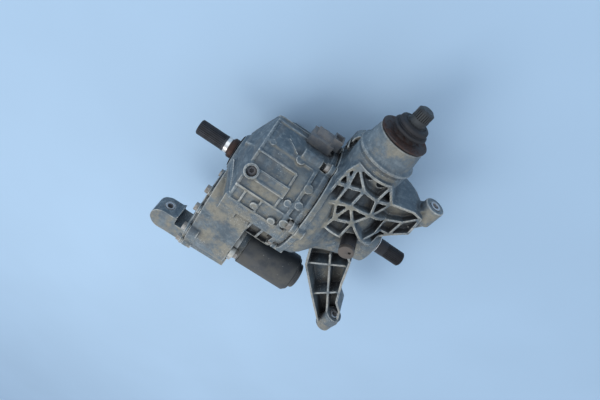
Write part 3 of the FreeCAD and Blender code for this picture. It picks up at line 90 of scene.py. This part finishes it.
class Tree:
    """A material's node tree, with short calls for the nodes that the finishes share."""

    def __init__(self, name):
        self.material = bpy.data.materials.new(name)
        self.material.use_nodes = True
        self.tree = self.material.node_tree
        self.tree.nodes.clear()
        out = self.tree.nodes.new("ShaderNodeOutputMaterial")
        self.shader = self.tree.nodes.new("ShaderNodeBsdfPrincipled")
        self.tree.links.new(self.shader.outputs[0], out.inputs[0])
        self.place = self.tree.nodes.new("ShaderNodeTexCoord").outputs["Object"]

    def put(self, socket, value):
        """Links a socket, or sets it where the value is plain."""
        if isinstance(value, bpy.types.NodeSocket):
            self.tree.links.new(value, socket)
        else:
            socket.default_value = value

    def noise(self, scale, detail, rough=0.6, distort=0.0, place=None):
        """Noise from 0 to 1 whose grain is about 1/scale metres wide."""
        made = self.tree.nodes.new("ShaderNodeTexNoise")
        self.put(made.inputs["Vector"], place or self.place)
        for key, value in (("Scale", scale), ("Detail", detail), ("Roughness", rough), ("Distortion", distort)):
            self.put(made.inputs[key], value)
        return made.outputs["Fac"]

    def step(self, value, low, high, start=0.0, end=1.0):
        """Goes smoothly from start to end while value goes from low to high."""
        made = self.tree.nodes.new("ShaderNodeMapRange")
        made.interpolation_type = "SMOOTHSTEP"
        for index, item in enumerate((value, low, high, start, end)):
            self.put(made.inputs[index], item)
        return made.outputs[0]

    def stretched(self, scale):
        """Places scaled unevenly, so that a noise drawn there grows long along the smallest scale's axis."""
        made = self.tree.nodes.new("ShaderNodeVectorMath")
        made.operation = "MULTIPLY"
        self.tree.links.new(self.place, made.inputs[0])
        made.inputs[1].default_value = scale
        return made.outputs[0]

    def along(self, axis):
        """How far a place lies along X, Y or Z, in metres."""
        split = self.tree.nodes.new("ShaderNodeSeparateXYZ")
        self.tree.links.new(self.place, split.inputs[0])
        return split.outputs[axis]

    def math(self, kind, a, b):
        """Works a sum or a product out."""
        made = self.tree.nodes.new("ShaderNodeMath")
        made.operation = kind
        self.put(made.inputs[0], a)
        self.put(made.inputs[1], b)
        return made.outputs[0]

    def times(self, a, b):
        return self.math("MULTIPLY", a, b)

    def mix(self, factor, a, b):
        """Blends two colours."""
        made = self.tree.nodes.new("ShaderNodeMix")
        made.data_type = "RGBA"
        self.put(made.inputs[0], factor)
        self.put(made.inputs[6], (*a, 1.0) if isinstance(a, tuple) else a)
        self.put(made.inputs[7], (*b, 1.0) if isinstance(b, tuple) else b)
        return made.outputs[2]

    def cover(self, under, mask, amount, over):
        """Lays a colour over another where the mask is 1, as thick as the amount."""
        return self.mix(self.times(mask, amount), under, over)

    def upward(self):
        """How far the surface faces up, from -1 to 1."""
        made = self.tree.nodes.new("ShaderNodeTexCoord")
        split = self.tree.nodes.new("ShaderNodeSeparateXYZ")
        self.tree.links.new(made.outputs["Normal"], split.inputs[0])
        return split.outputs["Z"]

    def hollow(self, distance):
        """0 in deep corners and 1 in the open."""
        made = self.tree.nodes.new("ShaderNodeAmbientOcclusion")
        made.samples = 8
        made.inputs["Distance"].default_value = distance
        return made.outputs["AO"]

    def edge(self):
        """Above a half on worn edges, below it in creases."""
        return self.tree.nodes.new("ShaderNodeNewGeometry").outputs["Pointiness"]

    def bump(self, height, strength, distance, before=None):
        """A normal bent by a height, on top of the normal given before it."""
        made = self.tree.nodes.new("ShaderNodeBump")
        made.inputs["Strength"].default_value = strength
        made.inputs["Distance"].default_value = distance
        self.tree.links.new(height, made.inputs["Height"])
        if before is not None:
            self.tree.links.new(before, made.inputs["Normal"])
        return made.outputs[0]

    def finish(self, colour, rough, normal, metallic=0.0):
        """Puts the colour, roughness and normal into the shader."""
        self.put(self.shader.inputs["Base Color"], colour)
        self.put(self.shader.inputs["Roughness"], rough)
        self.put(self.shader.inputs["Normal"], normal)
        self.shader.inputs["Metallic"].default_value = metallic
        return self.material


# Finishes

DARK_OXIDE = (0.050, 0.074, 0.096)
PALE_OXIDE = (0.30, 0.345, 0.36)
OIL_RUN = (0.16, 0.15, 0.135)
# Painted shade colour for the castings' corners and deep pockets.
CAST_HOLLOW_SHADE = (0.030, 0.028, 0.027)
BARE_EDGE = (0.62, 0.62, 0.57)
BRIGHT_FLECK = (0.66, 0.67, 0.64)
DIRT_SPECK = (0.07, 0.062, 0.055)
# Painted shade colour for the corners of steel parts.
STEEL_HOLLOW_SHADE = (0.03, 0.026, 0.022)
# Painted shade colour for the gaps between splines.
SPLINE_HOLLOW_SHADE = (0.015, 0.013, 0.012)
# Painted shade colour for the corners of painted parts.
PAINT_HOLLOW_SHADE = (0.02, 0.018, 0.016)
FRESH_RUST = (0.085, 0.042, 0.028)
OLD_RUST = (0.040, 0.027, 0.022)
POLISHED = (0.72, 0.70, 0.67)


def shaded(colour, share):
    return tuple(share * part for part in colour)


def cast_metal(name, side, face, dust, grain):
    """Sand-cast aluminium on a random blend of a shaded and a lit bluish grey: mottled oxide, runs and flecks,
    painted shade in corners, dust on top, bright edges.
    """
    t = Tree(name)
    patches = t.step(t.noise(34, 6, 0.65, 0.4), 0.40, 0.62)
    blotches = t.step(t.noise(130, 5), 0.46, 0.66)
    specks = t.step(t.noise(650, 3), 0.60, 0.70)
    runs = t.step(t.noise(60, 5, place=t.stretched((1.0, 1.0, 0.16))), 0.48, 0.66)
    flecks = t.times(t.step(t.noise(480, 3), 0.60, 0.68), t.step(t.noise(16, 4), 0.46, 0.60))
    settled = t.times(t.step(t.upward(), 0.40, 0.95), t.step(t.noise(24, 6, 0.7), 0.42, 0.58, 0.06, 1.0))
    # Painted shade: ambient occlusion darkens corners and deep pockets, made patchy by noise.
    hollow_shade = t.times(t.step(t.hollow(22 * MM), 0.92, 0.35), t.step(t.noise(45, 5), 0.2, 0.6, 0.65, 1.0))
    worn = t.times(t.step(t.edge(), 0.512, 0.560), t.step(t.noise(60, 5), 0.30, 0.56, 0.35, 1.0))
    # Painted shade and reflection: the base blends at random between a shaded and a lit copy of the casting's
    # grey, both tinted blue by painted sky reflection.
    colour = t.mix(t.step(t.noise(9, 5), 0.35, 0.65), side, face)
    colour = t.cover(colour, patches, 0.50, DARK_OXIDE)
    colour = t.cover(colour, blotches, 0.32, PALE_OXIDE)
    colour = t.cover(colour, runs, 0.35, OIL_RUN)
    colour = t.cover(colour, settled, 0.88, t.mix(blotches, dust, shaded(dust, 0.72)))
    # The painted shade is laid over the corners and deep pockets here.
    colour = t.cover(colour, hollow_shade, 0.92, CAST_HOLLOW_SHADE)
    colour = t.cover(colour, worn, 0.88, BARE_EDGE)
    colour = t.cover(colour, flecks, 0.60, BRIGHT_FLECK)
    colour = t.cover(colour, specks, 0.5, DIRT_SPECK)
    rough = t.step(worn, 0.0, 1.0, 0.66, 0.40)
    normal = t.bump(t.noise(1500, 3), 0.40, grain)
    normal = t.bump(t.noise(260, 4, 0.55), 0.30, grain * 2.5, normal)
    return t.finish(colour, rough, normal, 0.2)


def steel(name, base, stain, metallic=0.9, rough=0.32):
    """Machined or forged steel with oil stains, painted shade in its corners and a fine grain."""
    t = Tree(name)
    marks = t.step(t.noise(80, 6, 0.65, 0.5), 0.40, 0.66)
    colour = t.cover(base, marks, 0.7, stain)
    # Painted shade: ambient occlusion darkens the corners.
    colour = t.cover(colour, t.step(t.hollow(6 * MM), 0.8, 0.2), 0.8, STEEL_HOLLOW_SHADE)
    roughness = t.step(marks, 0.0, 1.0, rough, rough + 0.25)
    return t.finish(colour, roughness, t.bump(t.noise(900, 3), 0.12, 0.2 * MM), metallic)


def between(t, along, ends):
    """1 between two places along the axle, 0 outside, with soft ends a millimetre long."""
    low, high = ends
    return t.times(t.step(along, low - MM, low), t.step(along, high, high + MM, 1.0, 0.0))


def output_stub(name, base, stain, band, collar):
    """Dark splined steel with painted shade between its splines, polished where the seal runs and rusted beside
    it, both given along X in metres.
    """
    t = Tree(name)
    marks = t.step(t.noise(80, 6, 0.65, 0.5), 0.40, 0.66)
    along = t.math("ADD", t.along("X"), t.times(t.noise(55, 3, 0.5), 1.2 * MM))
    bright = between(t, along, band)
    colour = t.cover(base, marks, 0.7, stain)
    colour = t.cover(colour, between(t, along, collar), 0.9, t.mix(t.noise(300, 4), FRESH_RUST, OLD_RUST))
    colour = t.mix(bright, colour, POLISHED)
    # Painted shade: ambient occlusion darkens the gaps between the splines.
    colour = t.cover(colour, t.step(t.hollow(4 * MM), 0.8, 0.2), 0.8, SPLINE_HOLLOW_SHADE)
    rough = t.step(bright, 0.0, 1.0, 0.50, 0.22)
    return t.finish(colour, rough, t.bump(t.noise(900, 3), 0.15, 0.2 * MM), 0.7)


def rusted(name, paint, rust):
    """Dark paint that has rusted through in scales."""
    t = Tree(name)
    scales = t.step(t.noise(70, 7, 0.7, 0.6), 0.42, 0.58)
    fine = t.noise(600, 5, 0.65)
    colour = t.mix(scales, paint, t.mix(t.step(fine, 0.35, 0.65), rust, shaded(rust, 0.45)))
    normal = t.bump(t.math("ADD", scales, fine), 0.5, 0.4 * MM)
    return t.finish(colour, t.step(scales, 0.0, 1.0, 0.55, 0.88), normal, 0.15)


def rubber(name, base, dust):
    """Matt rubber with patches of dust."""
    t = Tree(name)
    film = t.times(t.step(t.noise(50, 6, 0.65), 0.40, 0.64), 0.55)
    rough = t.step(film, 0.0, 0.55, 0.52, 0.80)
    return t.finish(t.mix(film, base, dust), rough, t.bump(t.noise(1100, 3), 0.2, 0.15 * MM))


def painted(name, base, chip, dust):
    """Dark paint with dust on its upper side, chips, painted shade in its corners and a light orange peel."""
    t = Tree(name)
    settled = t.times(t.step(t.upward(), 0.0, 0.9), t.step(t.noise(40, 6, 0.65), 0.36, 0.62))
    colour = t.cover(base, settled, 0.65, dust)
    colour = t.cover(colour, t.step(t.noise(190, 5), 0.66, 0.70), 0.8, chip)
    # Painted shade: ambient occlusion darkens the corners.
    colour = t.cover(colour, t.step(t.hollow(10 * MM), 0.8, 0.2), 0.7, PAINT_HOLLOW_SHADE)
    normal = t.bump(t.noise(420, 3, 0.55), 0.18, 0.3 * MM)
    return t.finish(colour, t.step(settled, 0.0, 1.0, 0.42, 0.75), normal, 0.1)


finishes = {
    # The casting's first two tones are a painted shaded and a painted lit copy of one bluish grey.
    "cast_aluminium": cast_metal("cast_aluminium", (0.076, 0.110, 0.138), (0.138, 0.182, 0.212),
                                 (0.270, 0.250, 0.196), 0.35 * MM),
    "gear_steel": steel("gear_steel", (0.42, 0.42, 0.43), (0.20, 0.17, 0.14)),
    "bearing_steel": steel("bearing_steel", (0.60, 0.61, 0.63), (0.34, 0.31, 0.28), 0.95, 0.22),
    "stub_steel": steel("stub_steel", (0.060, 0.064, 0.066), (0.034, 0.030, 0.028), 0.6, 0.44),
    "shield_steel": rusted("shield_steel", (0.035, 0.026, 0.024), (0.070, 0.036, 0.028)),
    "bolt_steel": steel("bolt_steel", (0.36, 0.345, 0.32), (0.20, 0.165, 0.13), 0.55, 0.48),
    "sleeve_steel": steel("sleeve_steel", (0.50, 0.51, 0.53), (0.30, 0.27, 0.24), 0.8, 0.34),
    "seal_rubber": rubber("seal_rubber", (0.010, 0.010, 0.013), (0.034, 0.032, 0.032)),
    "motor_paint": painted("motor_paint", (0.032, 0.037, 0.042), (0.20, 0.20, 0.185), (0.118, 0.112, 0.098)),
    "friction_lining": rubber("friction_lining", (0.16, 0.11, 0.08), (0.08, 0.06, 0.05)),
    "plug_steel": painted("plug_steel", (0.09, 0.095, 0.11), (0.35, 0.34, 0.32), (0.24, 0.21, 0.18)),
    "sensor_plastic": rubber("sensor_plastic", (0.10, 0.108, 0.118), (0.24, 0.215, 0.185)),
}
cap_finish = painted("cap_paint", (0.085, 0.072, 0.062), (0.22, 0.19, 0.165), (0.150, 0.124, 0.104))
left_stub_finish = output_stub("left_stub_steel", (0.050, 0.052, 0.060), (0.030, 0.028, 0.028),
                               (-205 * MM, -200 * MM), (-199 * MM, -180 * MM))
right_stub_finish = output_stub("right_stub_steel", (0.040, 0.040, 0.044), (0.028, 0.026, 0.025),
                                (96 * MM, 97 * MM), (60 * MM, 95 * MM))


def dress(item, slot, finish=None):
    """Gives a piece its slot and that slot's finish, or one of its own."""
    item.data.materials.clear()
    item.data.materials.append(finish or finishes[slot])


# Shapes

def clean_copy(name, piece):
    """A free copy of a solid's mesh, with its doubled points merged."""
    mesh = nodes[name].data.copy()
    work = bmesh.new()
    work.from_mesh(mesh)
    bmesh.ops.remove_doubles(work, verts=work.verts, dist=0.005 * MM)
    work.to_mesh(mesh)
    work.free()
    return new_item(piece, mesh)


def apply_modifiers(item):
    """Puts the item's modifiers into its mesh."""
    graph = bpy.context.evaluated_depsgraph_get()
    mesh = bpy.data.meshes.new_from_object(item.evaluated_get(graph))
    item.modifiers.clear()
    item.data = mesh


def hollow_inside(place):
    """Whether a place lies in the rooms of the castings, where the moving pieces run."""
    across, forward, up = place.x / MM, place.y / MM, place.z / MM - AXLE_HEIGHT
    from_axle = math.hypot(forward, up)
    from_neck = math.hypot(across, up)
    in_drum = -162 < across < 45 and from_axle < 79
    in_nose = abs(across) > 40 and from_axle < 34
    in_neck = forward > 15 and from_neck < 37
    return in_drum or in_nose or in_neck


def roughen(item):
    """Uneven sand-cast skin: long swells and small lumps, outside the rooms and inside the whole model's box.
    """
    mesh = item.data
    normals = [corner.normal.copy() for corner in mesh.vertices]
    places = []
    for corner, normal in zip(mesh.vertices, normals):
        place = corner.co.copy()
        if not hollow_inside(place):
            swell = noise.noise(place * 45) * 0.35 + noise.noise(place * 160) * 0.16
            lump = noise.noise(place * 420) * 0.10
            place += normal * (swell + lump - 0.15) * MM
        places.extend(min(max(value, low), high) for value, low, high in zip(place, *cad_box))
    mesh.vertices.foreach_set("co", places)
    mesh.update()


def lathe(name, body, slot, profile, foot):
    """A piece turned about the Z axis from a profile of (along, radius), standing on its foot, in mm."""
    steps = 96
    mesh = bpy.data.meshes.new(name)
    work = bmesh.new()
    angles = [k * math.tau / steps for k in range(steps)]
    rings = [[work.verts.new((radius * MM * math.cos(angle), radius * MM * math.sin(angle), along * MM))
              for angle in angles] for along, radius in profile]
    for low, high in zip(rings, rings[1:] + rings[:1]):
        for k in range(steps):
            follow = (k + 1) % steps
            work.faces.new((low[k], low[follow], high[follow], high[k])).smooth = True
    bmesh.ops.recalc_face_normals(work, faces=work.faces)
    work.to_mesh(mesh)
    work.free()
    mesh.transform(Matrix.Translation(Vector(foot) * MM))
    item = new_item(name, mesh)
    dress(item, slot)
    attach(item, body)


SHARP = math.radians(38)
CREASED = math.radians(32)
UNIT = Vector((1, 1, 1))


def rounded(name, width, finish=None):
    """A solid's own mesh with small machined roundings, width in mm, on its sharp edges."""
    mesh = nodes[name].data.copy()
    work = bmesh.new()
    work.from_mesh(mesh)
    bmesh.ops.scale(work, vec=UNIT / MM, verts=work.verts)
    bmesh.ops.remove_doubles(work, verts=work.verts, dist=0.004)
    bmesh.ops.dissolve_limit(work, angle_limit=0.01, verts=work.verts, edges=work.edges)
    sharp = [edge for edge in work.edges if edge.is_manifold and edge.calc_face_angle(0.0) > SHARP]
    bmesh.ops.bevel(work, geom=sharp, offset=width, segments=2, profile=0.5, affect="EDGES",
                    clamp_overlap=True)
    bmesh.ops.scale(work, vec=UNIT * MM, verts=work.verts)
    for face in work.faces:
        face.smooth = True
    for edge in work.edges:
        edge.smooth = not edge.is_manifold or edge.calc_face_angle(0.0) < CREASED
    work.to_mesh(mesh)
    work.free()
    item = new_item(name + "_rounded", mesh)
    dress(item, slot_of[name], finish)
    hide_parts(name)
    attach(item, body_of[name])


def loft(work, sections):
    """A closed bar through four-cornered sections, in mm."""
    rings = [[work.verts.new(Vector(corner) * MM) for corner in section] for section in sections]
    for low, high in zip(rings, rings[1:]):
        for k in range(4):
            follow = (k + 1) % 4
            work.faces.new((low[k], low[follow], high[follow], high[k]))
    work.faces.new(rings[0][::-1])
    work.faces.new(rings[-1])


def around(across, degrees, radius):
    """A place about the axle, in mm: along X, at an angle from +Y towards +Z, at a radius."""
    turn = math.radians(degrees)
    return Vector((across, radius * math.cos(turn), AXLE_HEIGHT + radius * math.sin(turn)))


def outward(degrees):
    """The direction away from the axle at an angle from +Y towards +Z."""
    return around(0, degrees, 1) - around(0, 0, 0)


def section(low, top, side, wide, tapered):
    """A rib's section, wide at its foot and drawn in towards its top the more, the larger tapered is."""
    foot_half = side * wide / 2
    top_half = side * wide / tapered
    return [low - foot_half, low + foot_half, top + top_half, top - top_half]


def drum_rib(work, start, end, wide, high):
    """A rib on the drum from one (along X, degrees, radius) to another, as wide and as high as given."""
    swept = abs(end[1] - start[1])
    steps = 2 + int(swept / 6)
    sections = []
    for step in range(steps):
        part = step / (steps - 1)
        across, degrees, radius = (a + (b - a) * part for a, b in zip(start, end))
        side = Vector((1, 0, 0)) if swept > 12 else outward(degrees + 90)
        low = around(across, degrees, radius - DRUM_SUNK)
        sections.append(section(low, around(across, degrees, radius + high), side, wide, 2.6))
    loft(work, sections)


def stud(work, foot, axis, radius, long):
    """A round boss from a foot along an axis, in mm."""
    turn = axis.to_track_quat("Z", "Y").to_matrix().to_4x4()
    place = Matrix.Translation((foot + axis * long / 2) * MM) @ turn
    bmesh.ops.create_cone(work, cap_ends=True, segments=24, radius1=radius * MM, radius2=radius * 0.93 * MM,
                          depth=long * MM, matrix=place)


def lattice_top(across, forward):
    """How high above the axle the lattice's ribs reach over a plan place, in mm."""
    if across > ARM_START:
        return ARM_TOP - ARM_FALL * (across - ARM_START) / ARM_LONG
    radius = LATTICE_WIDE - LATTICE_NARROWING * (forward - LATTICE_START) / LATTICE_LONG
    return math.sqrt(max(radius * radius - across * across, 0.0))


def lattice_rib(work, start, end, wide):
    """A rib of the lattice between two plan places, its top on the lattice's own surface."""
    steps = 9
    run = Vector((end[0] - start[0], end[1] - start[1], 0))
    side = run.cross(Vector((0, 0, 1))).normalized()
    sections = []
    for step in range(steps):
        plan = Vector((*start, AXLE_HEIGHT)) + run * step / (steps - 1)
        top = plan + Vector((0, 0, lattice_top(plan.x, plan.y) + LATTICE_PROUD))
        sections.append(section(top - Vector((0, 0, LATTICE_DEEP)), top, side, wide, 2.8))
    loft(work, sections)


def drum_details(work):
    """The ribs, ridges and bosses that stand on the drum and its cone."""
    for start, end, wide, high in (
            ((-158, 78, DRUM), (-60, 78, DRUM), 5.0, 3.6), ((-158, 38, DRUM), (-92, 38, DRUM), 5.0, 3.2),
            ((-158, -10, DRUM), (-60, -10, DRUM), 6.0, 3.4), ((-92, 38, DRUM), (-92, 78, DRUM), 5.0, 3.4),
            ((-70, 16, DRUM), (-70, 98, DRUM), 8.0, 3.8), ((-156, -10, DRUM), (-156, 96, DRUM), 6.0, 2.2),
            ((-158, 92, DRUM - 1), (-180, 66, 47), 5.0, 3.4), ((-158, 38, DRUM - 1), (-180, 28, 47), 5.0, 2.8),
            ((-112, 79, DRUM), (-112, 98, DRUM), 4.5, 4.0), ((-140, 79, DRUM), (-140, 98, DRUM), 4.5, 4.0),
            ((-128, 8, DRUM), (-98, 24, DRUM), 5.0, 2.6), ((-98, 24, DRUM), (-70, 24, DRUM), 6.0, 3.2)):
        drum_rib(work, start, end, wide, high)
    sunk = 3
    for across, degrees, radius, high in (
            (-98, 24, 8, 4.5), (-118, 88, 7, 6), (-66, 44, 8, 5), (-80, 66, 6.5, 5),
            (-64, 62, 7, 6), (-66, 86, 8.5, 7), (-146, 24, 6, 3), (-84, 92, 7, 7)):
        stud(work, around(across, degrees, DRUM - sunk), outward(degrees), radius, high + sunk)


def carrier_details(work):
    """The lattice's rim, the finer ribs between its cells, and the web that carries the front boss."""
    for start, end, wide in (
            ((-38, 34), (-38, 92), 6.0), ((-38, 92), (-36, 116), 5.0), ((-36, 116), (-30, 134), 5.0),
            ((-30, 134), (26, 134), 6.5), ((26, 134), (48, 106), 5.0), ((48, 106), (86, 110), 5.5),
            ((86, 110), (104, 104), 6.0), ((110, 68), (104, 104), 6.0), ((86, 50), (110, 68), 6.0),
            ((68, 30), (86, 50), 6.0), ((46, 40), (68, 30), 5.5), ((-38, 62), (-4, 84), 4.5),
            ((-16, 36), (12, 36), 5.0), ((-30, 134), (-2, 112), 4.5), ((26, 134), (22, 108), 4.5),
            ((14, 64), (46, 40), 4.5), ((30, 84), (14, 64), 5.0), ((62, 76), (86, 84), 4.5), ((-24, 76), (-24, 102), 4.5)):
        lattice_rib(work, start, end, wide)
    for start, end in (((100, 98), (113, 104)), ((106, 72), (120, 98)), ((96, 106), (110, 118))):
        side = Vector((end[1] - start[1], start[0] - end[0], 0)).normalized() * WEB_HALF
        feet = [Vector((*spot, AXLE_HEIGHT - LATTICE_DEEP)) for spot in (start, end)]
        tops = [Vector((*spot, AXLE_HEIGHT + WEB_TOP)) for spot in (start, end)]
        loft(work, [[low - side, low + side, top + side, top - side] for low, top in zip(feet, tops)])


DETAILS = {"clutch_housing": drum_details, "carrier_housing": carrier_details}


def cast_skin(name, voxel, rounds):
    """The casting's own shape with soft edges and fillets, as sand casting leaves them."""
    item = clean_copy(name, name + "_skin")
    if name in DETAILS:
        work = bmesh.new()
        work.from_mesh(item.data)
        DETAILS[name](work)
        bmesh.ops.recalc_face_normals(work, faces=work.faces)
        work.to_mesh(item.data)
        work.free()
    remesh = item.modifiers.new("skin", "REMESH")
    remesh.mode = "VOXEL"
    remesh.voxel_size = voxel
    soften = item.modifiers.new("soften", "SMOOTH")
    soften.factor = 0.5
    soften.iterations = rounds
    apply_modifiers(item)
    roughen(item)
    for face in item.data.polygons:
        face.use_smooth = True
    dress(item, slot_of[name])
    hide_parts(name)
    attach(item, body_of[name])


for node, item in nodes.items():
    dress(item, slot_of[node])

OWN_FINISH = {
    "vent_cap": cap_finish, "left_output_shaft": left_stub_finish, "right_output_shaft": right_stub_finish,
}
EDGES = {
    "cover_bolts": 0.5, "seam_bolts": 0.5, "motor_bolts": 0.5, "vent_cap": 0.8, "drain_plug": 0.6,
    "fill_plug": 0.4, "motor_body": 0.8, "motor_end_cap": 1.0, "motor_flange": 0.8, "sensor_module": 1.2,
    "left_mount_sleeve": 0.5, "rear_mount_sleeve": 0.5, "front_mount_sleeve": 0.5, "dust_shield": 0.4,
    "pinion_boot": 0.9, "left_output_shaft": 0.35, "right_output_shaft": 0.35, "pinion_shaft": 0.35,
}
for node, width in EDGES.items():
    rounded(node, width, OWN_FINISH.get(node))

SKIN_VOXEL = 1.25 * MM
SKIN_ROUNDS = 4
for casting in ("carrier_housing", "clutch_housing", "end_cover"):
    cast_skin(casting, SKIN_VOXEL, SKIN_ROUNDS)

# Ribbed dark rubber sleeve on the breather post, below its cap; its darkness is painted shade under the cap

SLEEVE_INSIDE = 10.7
SLEEVE_GROOVE = 11.4
SLEEVE_RIB = 12.3
SLEEVE_LONG = 26.5
SLEEVE_FOOT = (36, 21, 155)

sleeve = [(0, SLEEVE_INSIDE), (0, SLEEVE_GROOVE)]
for rib in range(9):
    foot = 2.0 + rib * 2.6
    sleeve += [(foot, SLEEVE_GROOVE), (foot + 0.5, SLEEVE_RIB), (foot + 1.4, SLEEVE_RIB),
               (foot + 1.9, SLEEVE_GROOVE)]
sleeve += [(SLEEVE_LONG, SLEEVE_GROOVE), (SLEEVE_LONG, SLEEVE_INSIDE)]
# A dark piece put where shade falls under the breather cap: painted shade.
lathe("vent_shade_sleeve", "housing", "seal_rubber", sleeve, SLEEVE_FOOT)

# Floor, light and camera

FLOOR_SIDE = 8.0
FLOOR_COLOUR = (0.42, 0.58, 0.74)
SKY_COLOUR = (0.80, 0.88, 1.0, 1.0)
SKY_STRENGTH = 0.88

floor_mesh = bpy.data.meshes.new("floor")
half = FLOOR_SIDE / 2
corners = [(-half, -half, 0), (half, -half, 0), (half, half, 0), (-half, half, 0)]
floor_mesh.from_pydata(corners, [], [(0, 1, 2, 3)])
floor = new_item("floor", floor_mesh)
sheet = Tree("floor")
waves = sheet.noise(1.6, 3, 0.5)
tone = sheet.mix(sheet.step(waves, 0.3, 0.7), shaded(FLOOR_COLOUR, 0.94), FLOOR_COLOUR)
floor_mesh.materials.append(sheet.finish(tone, 0.75, sheet.bump(waves, 0.15, 0.01)))

world = bpy.data.worlds.new("world")
bpy.context.scene.world = world
world.use_nodes = True
sky = world.node_tree.nodes["Background"]
sky.inputs["Color"].default_value = SKY_COLOUR
sky.inputs["Strength"].default_value = SKY_STRENGTH


def lamp(name, place, target, side, power, colour):
    """A square soft lamp that faces its target."""
    data = bpy.data.lights.new(name, "AREA")
    data.shape = "SQUARE"
    data.size = side
    data.energy = power
    data.color = colour
    item = new_item(name, data)
    item.location = place
    item.rotation_mode = "QUATERNION"
    item.rotation_quaternion = (Vector(target) - Vector(place)).to_track_quat("-Z", "Y")


centre = (0.0, 0.0, 0.1)
lamp("key", (-0.55, -0.75, 1.5), centre, 1.0, 9.5, (1.0, 0.97, 0.93))
lamp("fill", (-0.9, 1.2, 0.9), centre, 1.2, 4.0, (0.80, 0.90, 1.0))

CAMERA_PLACE = Vector((-0.151, 0.4239, 0.6309))
CAMERA_RIGHT = Vector((0.825, 0.5, -0.263))
CAMERA_BACK = Vector((-0.14, 0.632, 0.763))
LENS_PIXELS = 410.0
IMAGE_WIDTH = 600.0
SENSOR_WIDTH = 36.0

eye = bpy.data.cameras.new("camera")
eye.sensor_width = SENSOR_WIDTH
eye.lens = LENS_PIXELS / IMAGE_WIDTH * SENSOR_WIDTH
camera = new_item("camera", eye)
back = CAMERA_BACK.normalized()
right = (CAMERA_RIGHT - back * CAMERA_RIGHT.dot(back)).normalized()
up = back.cross(right)
turn = Matrix((right, up, back)).transposed().to_4x4()
camera.matrix_world = Matrix.Translation(CAMERA_PLACE) @ turn
bpy.context.scene.camera = camera
bpy.context.scene.view_settings.view_transform = "Standard"
